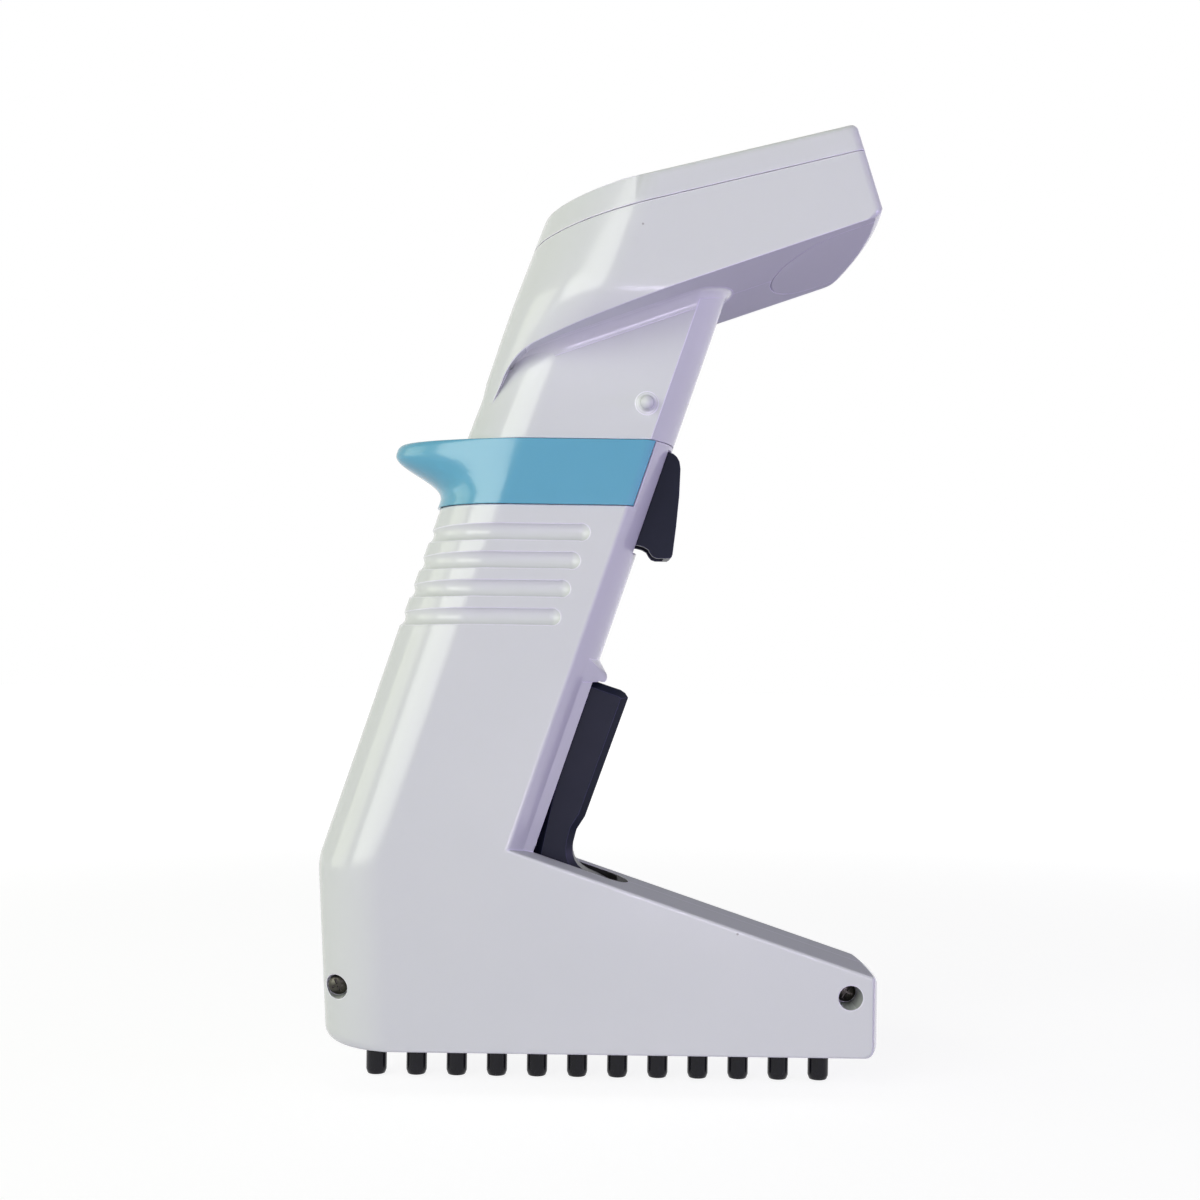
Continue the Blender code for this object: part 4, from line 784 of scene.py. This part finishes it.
trigger = {"half": 5.8, "shell": 1.6, "edge": 0.9, "slotLow": 116.9, "slotTop": 139.7, "play": 0.35}


def triggerSlot():
    low = trigger["slotLow"]
    top = trigger["slotTop"]
    outline = [(gripNose(low) - 10.0, low), (gripNose(low) + 4.0, low),
               (gripNose(top) + 4.0, top), (gripNose(top) - 10.0, top)]
    return sidePlate(outline, trigger["half"] + trigger["play"])


screws = {
    "seats": ((-56.6, 21.1), (54.8, 21.1)),
    "recess": 2.65,
    "floorY": 6.2,
    "bossFloor": 1.6,
    "boss": 3.7,
    "farBoss": 2.75,
    "head": 2.2,
    "shank": 1.3,
    "crossLength": 1.45,
    "crossWidth": 0.28,
}


def lowerHousing():
    shell = join(lowerForm(), bezel())
    cavity = lowerForm(casing["wall"])
    bossEnd = -screws["floorY"] + screws["bossFloor"]
    bosses = join(rods(screws["boss"], -casing["half"], bossEnd, screws["seats"]),
                  rods(screws["farBoss"], -screws["floorY"], casing["half"], screws["seats"]))
    shell = cut(shell, ringChannel())
    shell = cut(shell, cut(cavity, bosses))
    for tool in grooveTools():
        shell = cut(shell, tool)
    for tool in leverSlots():
        shell = cut(shell, tool)
    shell = cut(shell, slopeMouth())
    shell = cut(shell, triggerSlot())
    shell = cut(shell, rods(screws["recess"], -casing["half"] - 2, -screws["floorY"], screws["seats"]))
    half = casing["splitGap"] / 2
    right = keep(copyOf(shell), box((-80, -40, -10), (80, -half, 160)))
    left = keep(shell, box((-80, half, -10), (80, 40, 160)))
    finishPiece(right, "lowerCasingRight", "casingWhite", "casing", ["lower_housing_right"])
    finishPiece(left, "lowerCasingLeft", "casingWhite", "casing", ["lower_housing_left"])
    # The slot's dark sheet is painted shade inside the mouth
    finishPiece(slotShadeSheet(), "leverSlotShade", "innerBlackAndShade", "casing", ())


def hookReach(z):
    share = min(max((z - hook["rootZ"]) / (hook["fullZ"] - hook["rootZ"]), 0.0), 1.0) ** hook["hollow"]
    over = max(z - (casing["seamZ"] - hook["edge"]), 0.0)
    edgeIn = hook["edge"] - math.sqrt(max(hook["edge"] ** 2 - over**2, 0.0))
    return hook["reach"] * smoothStep(share) - edgeIn


def fingerHook():
    count = 22
    top = casing["seamZ"]
    levels = [ringBottomZ, hook["rootZ"]]
    levels += [hook["rootZ"] + (hook["fullZ"] - hook["rootZ"]) * i / count for i in range(1, count + 1)]
    levels += [top - hook["edge"] * share for share in (0.95, 0.75, 0.55, 0.35, 0.2, 0.08, 0.02, 0.0)]
    rings = []
    side = casing["half"] + hook["proud"]
    for z in levels:
        outline = []
        reach = max(hookReach(z), 0.0)
        for x, y, level in gripOutline(z, -hook["proud"])[:backSteps + 1]:
            outline.append((x - reach * (1 - (y / side) ** 2), y, level))
        front = gripCrease(z) + hook["wrap"]
        outline += [(front - hook["chamfer"], side, z), (front, side - 1.4, z)]
        outline += [(front, 1.4 - side, z), (front - hook["chamfer"], -side, z)]
        rings.append(outline)
    core = [gripOutline(z, hook["channel"] - gap) for z in (ringBottomZ - 2, top + 2)]
    made = cut(loft(rings), loft(core))
    finishPiece(made, "fingerHook", "hookBlue", "casing", ["finger_hook"])


# The head

head = {
    "half": 30.0,
    "corner": 23.0,
    "slope": 0.2493,
    "topX": 51.1,
    "topZ": 204.6,
    "coverHeight": 5.85,
    "coverThickness": 2.2,
    "length": 68.0,
    "endBulge": 2.0,
    "endRound": 2.0,
    "edge": 1.4,
    "floorX": 56.7,
    "floorZ": 185.61,
    "floorSlope": 0.353,
    "floorLean": 1.06,
    "turnX": -15.0,
    "scoop": 12.0,
    "neckBackX": -30.9,
    "neckLean": 0.371,
    "flareFootZ": 147.0,
    "flareTopZ": 172.0,
    "proud": 0.3,
    "cove": 3.2,
    "seamGap": 0.16,
}

headAngle = math.atan(head["slope"])


def flare(z):
    return smoothStep((z - head["flareFootZ"]) / (head["flareTopZ"] - head["flareFootZ"]))


def headOutline(z, inset=0.0, steps=20):
    proud = head["proud"] * (2 * min(flare(z) * 5, 1.0) - 1)
    half = casing["half"] + (head["half"] - casing["half"]) * flare(z) - inset + min(proud, 0.0)
    base = casing["backRound"] - 1.0
    corner = min(base + (head["corner"] - base) * flare(z) - inset, half - 0.2)
    back = neckBack(z) - proud + inset * casing["wallLean"]
    points = []
    for i in range(steps + 1):
        angle = math.radians(90 * i / steps)
        points.append((back + corner * (1 - math.sin(angle)), -half + corner * (1 - math.cos(angle)), z))
    points += [(x, -y, z) for x, y, z in reversed(points)]
    far = head["topX"] + 30.0
    return points + [(far, half, z), (far, -half, z)]


def headEnvelope(inset=0.0):
    levels = [upperZ - 1.0 + i * 1.6 for i in range(22)] + [178.0, 225.0]
    return loft([headOutline(z, inset) for z in levels])


def alongHead(distance, depth=0.0):
    cosine = math.cos(headAngle)
    sine = math.sin(headAngle)
    x = head["topX"] - distance * cosine + depth * sine
    z = head["topZ"] - distance * sine - depth * cosine
    return x, z


def endShift(y):
    shift = head["endBulge"] * (1 - (y / head["half"]) ** 2)
    over = max(abs(y) - (head["half"] - head["endRound"]), 0.0)
    return shift - (head["endRound"] - math.sqrt(max(head["endRound"] ** 2 - over**2, 0.0)))


def scoopPath(inset=0.0, steps=14):
    # The underside behind the straight floor: a round turn down into the neck
    turnX = head["turnX"] + inset
    turnZ = head["floorZ"] - head["floorSlope"] * (head["floorX"] - turnX) + inset * head["floorLean"]
    tilt = math.atan(head["floorSlope"])
    lean = math.degrees(math.atan(head["neckLean"]))
    centreX = turnX + head["scoop"] * math.sin(tilt)
    centreZ = turnZ - head["scoop"] * math.cos(tilt)
    return arc(centreX, centreZ, head["scoop"], 90 + math.degrees(tilt), 180 - lean, steps)


def headSection(y, inset=0.0, top=0.0):
    shift = endShift(y) - inset
    edge = head["edge"]
    over = max(abs(y) - (head["half"] - edge), 0.0)
    crown = top + (edge - math.sqrt(max(edge**2 - over**2, 0.0)) if top == 0 else 0.0)
    floorX = head["floorX"] + shift
    floorZ = head["floorZ"] + head["floorSlope"] * shift + inset * head["floorLean"]
    points = [alongHead(head["length"] + 25.0, crown)]
    for i in range(6):
        angle = math.radians(90 * i / 5)
        back = edge * (1 - math.sin(angle))
        points.append(alongHead(-shift + back, crown + edge * (1 - math.cos(angle))))
    points += [(floorX - 0.1, floorZ + 1.6), (floorX - 0.4, floorZ + 0.8), (floorX - 0.9, floorZ + 0.05),
               (floorX - 1.8, floorZ - 1.8 * head["floorSlope"])]
    points += scoopPath(inset)
    tailX, tailZ = points[-1]
    fall = tailZ - (upperZ + 0.6)
    points.append((tailX - fall * head["neckLean"] - 1.5, upperZ + 0.6))
    points.append((tailX - 40.0, upperZ + 0.6))
    return [(x, y, z) for x, z in points]


def headStations(inset=0.0):
    # Sections across the head, closer together where its ends turn round
    half = head["half"] - inset
    edge = half - head["endRound"]
    outer = [half, half - 0.05, half - 0.2, half - 0.45, half - 0.8, half - 1.3, half - 2.0, edge]
    outer += [edge * share for share in (0.9, 0.78, 0.64, 0.48, 0.3, 0.15)]
    return [-y for y in outer] + [0.0] + outer[::-1]


def headForm(inset=0.0, top=0.0):
    body = loft([headSection(y, inset, top) for y in headStations(inset)])
    return keep(body, headEnvelope(inset))


def headSlab(lowDepth, highDepth):
    return sidePlate([alongHead(-30, highDepth), alongHead(-30, lowDepth),
                      alongHead(110, lowDepth), alongHead(110, highDepth)], 60.0)


def headTurn(middleY=0.0):
    place = Matrix.Translation((head["topX"] * mm, middleY * mm, head["topZ"] * mm))
    return place @ Matrix.Rotation(-headAngle, 4, "Y")


def roundedOutline(start, end, halfY, corner, steps=6):
    outline = arc(-start - corner, halfY - corner, corner, 0, 90, steps)
    outline += arc(-end + corner, halfY - corner, corner, 90, 180, steps)
    outline += arc(-end + corner, corner - halfY, corner, 180, 270, steps)
    outline += arc(-start - corner, corner - halfY, corner, 270, 360, steps)
    return outline


def headBlock(start, end, halfY, lowDepth, highDepth, middleY=0.0, corner=0.6):
    thing = planPlate(roundedOutline(start, end, halfY, corner), -lowDepth, -highDepth)
    thing.data.transform(headTurn(middleY))
    return thing


display = {"start": 9.5, "length": 28.0, "half": 19.0, "ledge": 2.0, "lens": 0.9}

keys = {
    "rows": 2,
    "columns": 3,
    "start": 42.0,
    "rowPitch": 8.4,
    "columnPitch": 13.0,
    "length": 6.2,
    "width": 9.2,
    "proud": 0.8,
    "round": 1.6,
    "depth": 2.6,
    "edge": 0.45,
    "play": 0.2,
}


def keyPlaces():
    places = []
    for row in range(keys["rows"]):
        for column in range(keys["columns"]):
            places.append((keys["start"] + row * keys["rowPitch"],
                           (column - (keys["columns"] - 1) / 2) * keys["columnPitch"]))
    return places


def headCover():
    shell = keep(headForm(), headSlab(head["coverHeight"] - head["seamGap"] / 2, -10.0))
    shell = cut(shell, headForm(head["coverThickness"], head["coverThickness"]))
    start = display["start"]
    end = start + display["length"]
    ledge = display["ledge"]
    shell = cut(shell, headBlock(start, end, display["half"], 4.0, -1.0, corner=1.0))
    seat = display["lens"] + gap
    lensSeat = headBlock(start - ledge, end + ledge, display["half"] + ledge, seat, -2.0, corner=2.0)
    shell = cut(shell, lensSeat)
    for spot, y in keyPlaces():
        play = keys["play"]
        hole = headBlock(spot - play, spot + keys["length"] + play, keys["width"] / 2 + play, 4.0, -1.0, y,
                         keys["round"] + play)
        shell = cut(shell, hole)
    finishPiece(shell, "headCoverPiece", "casingWhite", "casing", ["head_cover"])


door = {"cornerLength": 12.5, "cornerX": 50.0, "half": 25.2, "thickness": 1.0, "seam": 0.16, "below": 3.0}


def doorOutline(grow):
    farX = head["floorX"] + 10.0
    half = door["half"] + grow
    points = [(farX, -half), (farX, half)]
    for i in range(37):
        angle = math.radians(90 + 180 * i / 36)
        across = math.sin(angle)
        points.append((door["cornerX"] + (door["cornerLength"] + grow) * math.cos(angle), half * across))
    return points


def floorPlate(outline, low, high):
    thing = planPlate(outline, 0.0, 1.0)
    for vertex in thing.data.vertices:
        x = vertex.co.x / mm
        level = low if vertex.co.z < 0.5 * mm else high
        vertex.co.z = (head["floorZ"] - head["floorSlope"] * (head["floorX"] - x) + level) * mm
    return thing


peg = {"x": 9.1, "z": 148.5, "radius": 1.45, "length": 2.8}


def standPeg(side):
    r = peg["radius"]
    tall = peg["length"]
    profile = [(0.0, tall)]
    for degrees in (20, 40, 60, 78, 90):
        angle = math.radians(degrees)
        profile.append((r * math.sin(angle), tall - r * 0.9 * (1 - math.cos(angle))))
    profile.append((r, 1.0))
    for degrees in (20, 40, 60, 75, 90):
        angle = math.radians(degrees)
        profile.append((r + 1.0 - math.cos(angle), 1.0 - math.sin(angle)))
    profile += [(r + 1.0, -0.8), (0.0, -0.8)]
    made = turned(profile, 40)
    place = Matrix.Translation((peg["x"] * mm, side * casing["half"] * mm, peg["z"] * mm))
    made.data.transform(place @ Matrix.Rotation(-side * math.pi / 2, 4, "X"))
    return made


def coveSize(z):
    room = (head["half"] - casing["half"]) * flare(z)
    growth = smoothStep((z - head["flareFootZ"] - 1.5) / 11.0)
    return max(min(head["cove"] * growth, room * 0.9), 0.05)


def coveRing(contact, out, below, radius):
    # A round that touches the neck at one point and the underside at another, with a body behind it
    centre = contact + out * radius
    angle = math.acos(max(min(out.dot(below), 1.0), -1.0))
    ring = []
    for i in range(9):
        share = i / 8
        mixed = (out * math.sin((1 - share) * angle) + below * math.sin(share * angle)) / math.sin(angle)
        ring.append(tuple(centre - mixed * radius))
    ring.append(tuple(centre - below * (radius + 0.8)))
    ring.append(tuple(centre - (out + below) * (radius + 0.8) / (1 + out.dot(below))))
    ring.append(tuple(contact - out * 0.8))
    return ring


def neckSide(x, z):
    # A point on the neck's right side, which is round towards the back, and the way out of it
    turn = min(max((neckBack(z) + casing["backRound"] - x) / casing["backRound"], 0.0), 0.98)
    across = math.sqrt(1 - turn**2)
    return Vector((x, -casing["half"] * across, z)), Vector((-turn, -across, 0.0))


def coveStrip():
    # The soft fillet between the neck and the underside of the head, run round the neck
    half = casing["half"]
    lean = casing["gripLean"]
    slope = head["floorSlope"]
    below = Vector((slope, 0, -1)).normalized()
    crease = Vector((lean, 0, 1)).normalized()
    floor0 = head["floorZ"] - slope * head["floorX"]
    side = Vector((0, -1, 0))
    radius = head["cove"]
    rings = []
    path = scoopPath()
    turnZ = floor0 + slope * head["turnX"]
    middle = Vector((head["turnX"] + head["scoop"] * below.x, 0, turnZ + head["scoop"] * below.z))
    tailX, tailZ = path[-1]
    fall = tailZ - (upperZ + 0.6)
    tailIn = Vector((fall, 0, -fall * head["neckLean"] - 1.5)).normalized()
    for share in (0.42, 0.34, 0.26, 0.18, 0.1):
        x = tailX - (fall * head["neckLean"] + 1.5) * share
        z = tailZ - fall * share
        size = coveSize(z)
        contact, out = neckSide(x, z)
        rings.append(coveRing(contact + tailIn * size, out, tailIn, size))
    for x, z in reversed(path):
        inward = (middle - Vector((x, 0, z))).normalized()
        size = coveSize(z)
        contact, out = neckSide(x, z)
        rings.append(coveRing(contact + inward * size, out, inward, size))
    creaseZ = (floor0 + slope * gripCrease(0.0)) / (1 - slope * lean)
    corner = Vector((gripCrease(creaseZ), -half, creaseZ))
    endX = (corner - crease * radius / -crease.dot(below)).x
    for i in range(1, 10):
        x = head["turnX"] + (endX - head["turnX"]) * i / 10
        contact = Vector((x, -half, floor0 + slope * x)) + below * radius
        rings.append(coveRing(contact, side, below, radius))
    noseOut = Vector((1.0, -2 * casing["noseBulge"] / half, -lean)).normalized()
    turn = math.acos(side.dot(noseOut))
    for i in range(9):
        share = i / 8
        out = (side * math.sin((1 - share) * turn) + noseOut * math.sin(share * turn)) / math.sin(turn)
        slide = radius * (1 - out.dot(below)) / -crease.dot(below)
        rings.append(coveRing(corner - crease * slide, out, below, radius))
    for i in range(1, 13):
        y = -half + half * i / 12
        out = Vector((1.0, 2 * casing["noseBulge"] * y / half**2, -lean)).normalized()
        drop = radius * (1 - out.dot(below)) * math.hypot(1.0, slope)
        z = (floor0 + slope * gripNose(0.0, y) - drop) / (1 - slope * lean)
        rings.append(coveRing(Vector((gripNose(z, y), y, z)), out, below, radius))
    mirrored = [[(x, -y, z) for x, y, z in ring] for ring in reversed(rings[:-1])]
    return loft(rings + mirrored)


def upperHousing():
    tray = keep(headForm(), headSlab(90.0, head["coverHeight"] + head["seamGap"] / 2))
    neck = loft([gripOutline(z, 0.0, neckBack) for z in (upperZ - 0.12, head["floorZ"] - 4.0)])
    neck = keep(neck, headSlab(90.0, head["coverHeight"] + 2.0))
    shell = join(tray, neck)
    hollow = headForm(casing["wall"], 1.0)
    throatEnds = (upperZ - 4.0, head["floorZ"] - 1.0)
    throat = loft([gripOutline(z, casing["wall"], neckBack) for z in throatEnds])
    throat = keep(throat, headSlab(90.0, head["coverHeight"] - 3.0))
    shell = cut(shell, join(hollow, throat))
    shell = cut(shell, floorPlate(doorOutline(door["seam"]), -door["below"], door["thickness"] + gap))
    half = casing["splitGap"] / 2
    right = keep(copyOf(shell), box((-80, -40, 100), (80, -half, 260)))
    left = keep(shell, box((-80, half, 100), (80, 40, 260)))
    merge(right, standPeg(-1))
    merge(left, standPeg(1))
    finishPiece(right, "upperCasingRight", "casingWhite", "casing", ["upper_housing_right"])
    finishPiece(left, "upperCasingLeft", "casingWhite", "casing", ["upper_housing_left"])
    fillet = keep(coveStrip(), headEnvelope(0.03))
    finishPiece(fillet, "neckFillet", "casingWhite", "casing", ())
    cover = keep(headForm(), floorPlate(doorOutline(0.0), -door["below"], door["thickness"]))
    finishPiece(cover, "batteryDoorPiece", "casingWhite", "casing", ["battery_door"])


def topFace():
    for i, (start, y) in enumerate(keyPlaces()):
        end = start + keys["length"]
        cap = headBlock(start, end, keys["width"] / 2, keys["depth"], -keys["proud"], y, keys["round"])
        cap = soften(cap, keys["edge"], 4, 60)
        name = "key_%d" % (i + 1)
        finishPiece(cap, "keyCap%d" % (i + 1), "keyGrey", name, [name])


# Controls

def makeTrigger():
    outline = [(14.4, 139.3), (15.5, 138.9), (16.3, 138.2), (16.85, 137.2), (17.1, 135.6), (16.9, 129.7),
               (16.3, 122.8), (15.6, 116.7), (15.4, 116.1), (14.9, 115.8), (12.2, 115.8), (11.3, 116.1),
               (10.7, 116.8), (10.2, 117.7), (9.2, 118.3), (8.0, 118.6), (4.6, 119.1), (3.0, 120.6),
               (4.2, 131.5), (5.6, 138.0), (7.0, 139.3)]
    made = soften(sidePlate(outline, trigger["half"]), trigger["edge"], 4, 50)
    inner = trigger["half"] - trigger["shell"]
    hollow = [(2.0, 114.0), (13.6, 114.0), (14.4, 122.9), (14.8, 131.0), (9.0, 131.4), (3.0, 131.0)]
    made = cut(made, sidePlate(hollow, inner))
    finishPiece(made, "triggerPiece", "controlNavy", "trigger", ["trigger"], 30)


def makeLever():
    pivotX, pivotZ = lever["pivot"]
    topZ = lever["topZ"]
    tipZ = topZ - 2.8
    tipX = gripNose(tipZ) + lever["standout"]
    innerX = gripNose(topZ) - 4.0
    armLow = lever["yokeTop"] + gap
    outline = [(innerX, leverTop(innerX)), (tipX - 3.4, leverTop(tipX - 3.4)), (tipX - 2.0, tipZ + 0.75),
               (tipX - 1.0, tipZ + 0.1), (tipX - 0.3, tipZ - 0.9),
               (gripNose(tipZ - 2.2) + lever["standout"], tipZ - 2.2),
               (gripNose(58.5) + lever["standout"] - 0.4, 58.5), (-4.75, 55.6), (-5.1, 54.2),
               (-5.45, 52.8), (-5.6, 51.4), (-5.5, 50.1), (-5.1, 48.8), (-4.4, 47.7), (-3.4, 46.8),
               (-2.0, 45.95), (0.2, 45.0)]
    outline += arc(pivotX, pivotZ, lever["hub"], 70, -90, 16)
    outline += [(-4.0, pivotZ - lever["hub"]), (-14.0, armLow), (-26.0, armLow)]
    outline += arc(-26.0, armLow + 1.6, 1.6, 250, 110, 8)
    outline += [(-17.0, armLow + 3.6), (-14.5, 48.0), (innerX - 0.8, topZ - 2.0)]
    made = chamferedPlate(outline, lever["half"], lever["chamfer"])
    finishPiece(made, "leverPiece", "controlNavy", "ejector_lever", ["ejector_lever"], 30)


nozzle = {
    "count": 12,
    "pitch": 9.0,
    "middleX": 0.6,
    "radius": 2.3,
    "tip": 1.9,
    "taper": 0.9,
    "length": 13.4,
    "bore": 1.0,
    "ring": (5.5, 6.3),
    "ringDepth": 0.12,
    "socket": 1.8,
    "socketFloor": 9.2,
}


def makeNozzles():
    first = nozzle["middleX"] - nozzle["pitch"] * (nozzle["count"] - 1) / 2
    r = nozzle["radius"]
    tip = nozzle["tip"]
    bore = nozzle["bore"]
    ringLow, ringTop = nozzle["ring"]
    ringRadius = r - nozzle["ringDepth"]
    profile = [(r, nozzle["length"]), (r, ringTop), (ringRadius, ringTop - 0.1)]
    profile += [(ringRadius, ringLow + 0.1), (r, ringLow), (r, nozzle["taper"] + 0.25)]
    profile += [(r - 0.03, nozzle["taper"]), (tip + 0.1, 0.16), (tip, 0.04), (tip - 0.1, 0.0)]
    profile += [(bore + 0.1, 0.0), (bore, 0.1), (bore, nozzle["socketFloor"])]
    profile += [(nozzle["socket"], nozzle["socketFloor"] + 0.4), (nozzle["socket"], nozzle["length"])]
    for i in range(nozzle["count"]):
        made = turned(profile, 48)
        made.data.transform(Matrix.Translation(((first + nozzle["pitch"] * i) * mm, 0, 0)))
        name = "nozzle_%02d" % (i + 1)
        finishPiece(made, "nozzlePiece%02d" % (i + 1), "nozzleBlack", "casing", [name], 30)


def makeScrews():
    for i, (x, z) in enumerate(screws["seats"]):
        floorY = -screws["floorY"] - gap
        r = screws["head"]
        profile = [(0.0, 1.9)]
        for degrees in (20, 40, 60, 78, 90):
            angle = math.radians(degrees)
            profile.append((r * math.sin(angle), 1.05 + 0.85 * math.cos(angle)))
        made = turned(profile + [(r, 0.0), (0.0, 0.0)], 40)
        for turn in (0, 90):
            bar = box((-screws["crossLength"], -screws["crossWidth"], 0.9),
                      (screws["crossLength"], screws["crossWidth"], 3.0))
            bar.data.transform(Matrix.Rotation(math.radians(turn + 25 + 40 * i), 4, "Z"))
            made = cut(made, bar)
        seat = Matrix.Translation((x * mm, floorY * mm, z * mm))
        made.data.transform(seat @ Matrix.Rotation(math.pi / 2, 4, "X"))
        merge(made, rods(screws["shank"], floorY + 0.1, 8.6, [(x, z)], 24))
        name = "housing_screw_%d" % (i + 1)
        finishPiece(made, "screwPiece%d" % (i + 1), "darkSteel", "casing", [name], 30)


lowerHousing()
print("lower casing made")
fingerHook()
headCover()
upperHousing()
topFace()
print("head made")
makeTrigger()
makeLever()
makeNozzles()
makeScrews()
print("controls and nozzles made")

# The CAD nodes that stay take a material each
slotMaterials = {
    "casing": "casingWhite", "hook": "hookBlue", "controls": "controlNavy", "nozzle": "nozzleBlack",
    "lens": "displayLens", "display": "displayPanel", "keys": "keyGrey", "circuit_board": "boardGreen",
    "battery": "batteryFilm", "switch_black": "innerBlackAndShade", "steel": "steel", "rotor": "darkSteel",
    "seal": "sealRubber", "acetal": "acetal",
}
for entry in frame["record"]["subparts"]:
    node = frame["nodes"][entry["node"]]
    node.data.materials.clear()
    node.data.materials.append(materials[slotMaterials[entry["material_slot"]]])


# Floor, lamps and surroundings

stage = {
    "floorColour": (0.3, 0.3, 0.3),
    "bounceColour": (0.8, 0.72, 0.98),
    "floorGlow": 0.85,
    "floorFade": (0.25, 0.9),
    "worldSides": 0.34,
    "worldTop": 0.02,
    "worldBehind": 2.6,
    "lamps": (
        # name, place, aimed at, width, height, power, colour
        ("keyLamp", (-0.95, -1.25, 0.5), (0, 0, 0.1), 1.2, 1.0, 16.0, (0.96, 1.0, 0.88)),
        ("leftLamp", (-1.1, -0.1, 0.22), (0, 0, 0.1), 0.6, 0.8, 2.8, (0.95, 1.0, 0.74)),
        ("rightLamp", (0.35, -0.4, 0.02), (0.04, 0, 0.03), 0.2, 0.06, 0.12, (0.8, 0.74, 1.0)),
        ("lilacLamp", (0.95, -0.14, 0.03), (0, 0, 0.12), 0.5, 0.5, 4.3, (0.6, 0.48, 1.0)),
        ("lowLamp", (0.12, -0.49, 0.012), (0, 0, 0.17), 0.2, 0.1, 1.0, (0.82, 0.72, 1.0)),
    ),
}


def seenDirectly(tree):
    # 1 for rays from the camera and for those that come by way of gloss or glass
    path = addNode(tree, "ShaderNodeLightPath")
    seen = path.outputs["Is Camera Ray"]
    for other in ("Is Glossy Ray", "Is Transmission Ray"):
        most = addNode(tree, "ShaderNodeMath", operation="MAXIMUM")
        tree.links.new(seen, most.inputs[0])
        tree.links.new(path.outputs[other], most.inputs[1])
        seen = most.outputs[0]
    return seen


def makeFloor():
    bm = bmesh.new()
    bmesh.ops.create_grid(bm, x_segments=1, y_segments=1, size=6.0)
    floor = solidFrom(bm)
    floor.name = "floor"
    for vertex in floor.data.vertices:
        vertex.co.z = -0.0002
    made = bpy.data.materials.new("floorPale")
    made.use_nodes = True
    tree = made.node_tree
    shader = tree.nodes["Principled BSDF"]
    shader.inputs["Base Color"].default_value = (*stage["floorColour"], 1)
    shader.inputs["Roughness"].default_value = 0.9
    shader.inputs["Specular IOR Level"].default_value = 0.1
    glow = addNode(tree, "ShaderNodeEmission")
    seen = seenDirectly(tree)
    bounce = addNode(tree, "ShaderNodeBsdfDiffuse")
    bounce.inputs["Color"].default_value = (*stage["bounceColour"], 1)
    place = addNode(tree, "ShaderNodeTexCoord")
    far = addNode(tree, "ShaderNodeVectorMath", operation="LENGTH")
    tree.links.new(place.outputs["Object"], far.inputs[0])
    fade = addNode(tree, "ShaderNodeMapRange", interpolation_type="SMOOTHSTEP")
    fade.inputs["From Min"].default_value, fade.inputs["From Max"].default_value = stage["floorFade"]
    fade.inputs["To Min"].default_value = stage["floorGlow"]
    tree.links.new(far.outputs["Value"], fade.inputs["Value"])
    tree.links.new(fade.outputs["Result"], glow.inputs["Strength"])
    both = addNode(tree, "ShaderNodeAddShader")
    out = tree.nodes["Material Output"]
    tree.links.new(shader.outputs[0], both.inputs[0])
    tree.links.new(glow.outputs[0], both.inputs[1])
    pick = addNode(tree, "ShaderNodeMixShader")
    tree.links.new(seen, pick.inputs[0])
    tree.links.new(bounce.outputs[0], pick.inputs[1])
    tree.links.new(both.outputs[0], pick.inputs[2])
    tree.links.new(pick.outputs[0], out.inputs["Surface"])
    floor.data.materials.append(made)


def makeWorld():
    world = bpy.data.worlds.new("surroundings")
    world.use_nodes = True
    tree = world.node_tree
    back = tree.nodes["Background"]
    back.inputs["Color"].default_value = (0.96, 0.97, 1.0, 1)
    place = addNode(tree, "ShaderNodeTexCoord")
    height = addNode(tree, "ShaderNodeSeparateXYZ")
    tree.links.new(place.outputs["Generated"], height.inputs[0])
    level = addNode(tree, "ShaderNodeMapRange", interpolation_type="SMOOTHSTEP")
    level.inputs["From Min"].default_value = 0.1
    level.inputs["From Max"].default_value = 0.8
    level.inputs["To Min"].default_value = stage["worldSides"]
    level.inputs["To Max"].default_value = stage["worldTop"]
    tree.links.new(height.outputs["Z"], level.inputs["Value"])
    behind = addNode(tree, "ShaderNodeMapRange")
    behind.inputs["To Min"].default_value = 1.0
    behind.inputs["To Max"].default_value = stage["worldBehind"]
    tree.links.new(height.outputs["Y"], behind.inputs["Value"])
    strength = addNode(tree, "ShaderNodeMath", operation="MULTIPLY")
    tree.links.new(level.outputs["Result"], strength.inputs[0])
    tree.links.new(behind.outputs["Result"], strength.inputs[1])
    tree.links.new(strength.outputs[0], back.inputs["Strength"])
    white = addNode(tree, "ShaderNodeBackground", Strength=1.0)
    white.inputs["Color"].default_value = (1, 1, 1, 1)
    seen = seenDirectly(tree)
    mix = addNode(tree, "ShaderNodeMixShader")
    out = tree.nodes["World Output"]
    tree.links.new(seen, mix.inputs[0])
    tree.links.new(back.outputs[0], mix.inputs[1])
    tree.links.new(white.outputs[0], mix.inputs[2])
    tree.links.new(mix.outputs[0], out.inputs["Surface"])
    bpy.context.scene.world = world


def makeLamp(name, place, target, width, height, power, colour):
    data = bpy.data.lights.new(name, "AREA")
    data.shape = "RECTANGLE"
    data.size = width
    data.size_y = height
    data.energy = power
    data.color = colour
    made = bpy.data.objects.new(name, data)
    made.location = place
    made.visible_camera = False
    bpy.context.scene.collection.objects.link(made)
    direction = Vector(place) - Vector(target)
    made.rotation_euler = direction.to_track_quat("Z", "Y").to_euler()


makeFloor()
makeWorld()
for lamp in stage["lamps"]:
    makeLamp(*lamp)
bpy.context.scene.view_settings.view_transform = "Standard"
print("stage set")
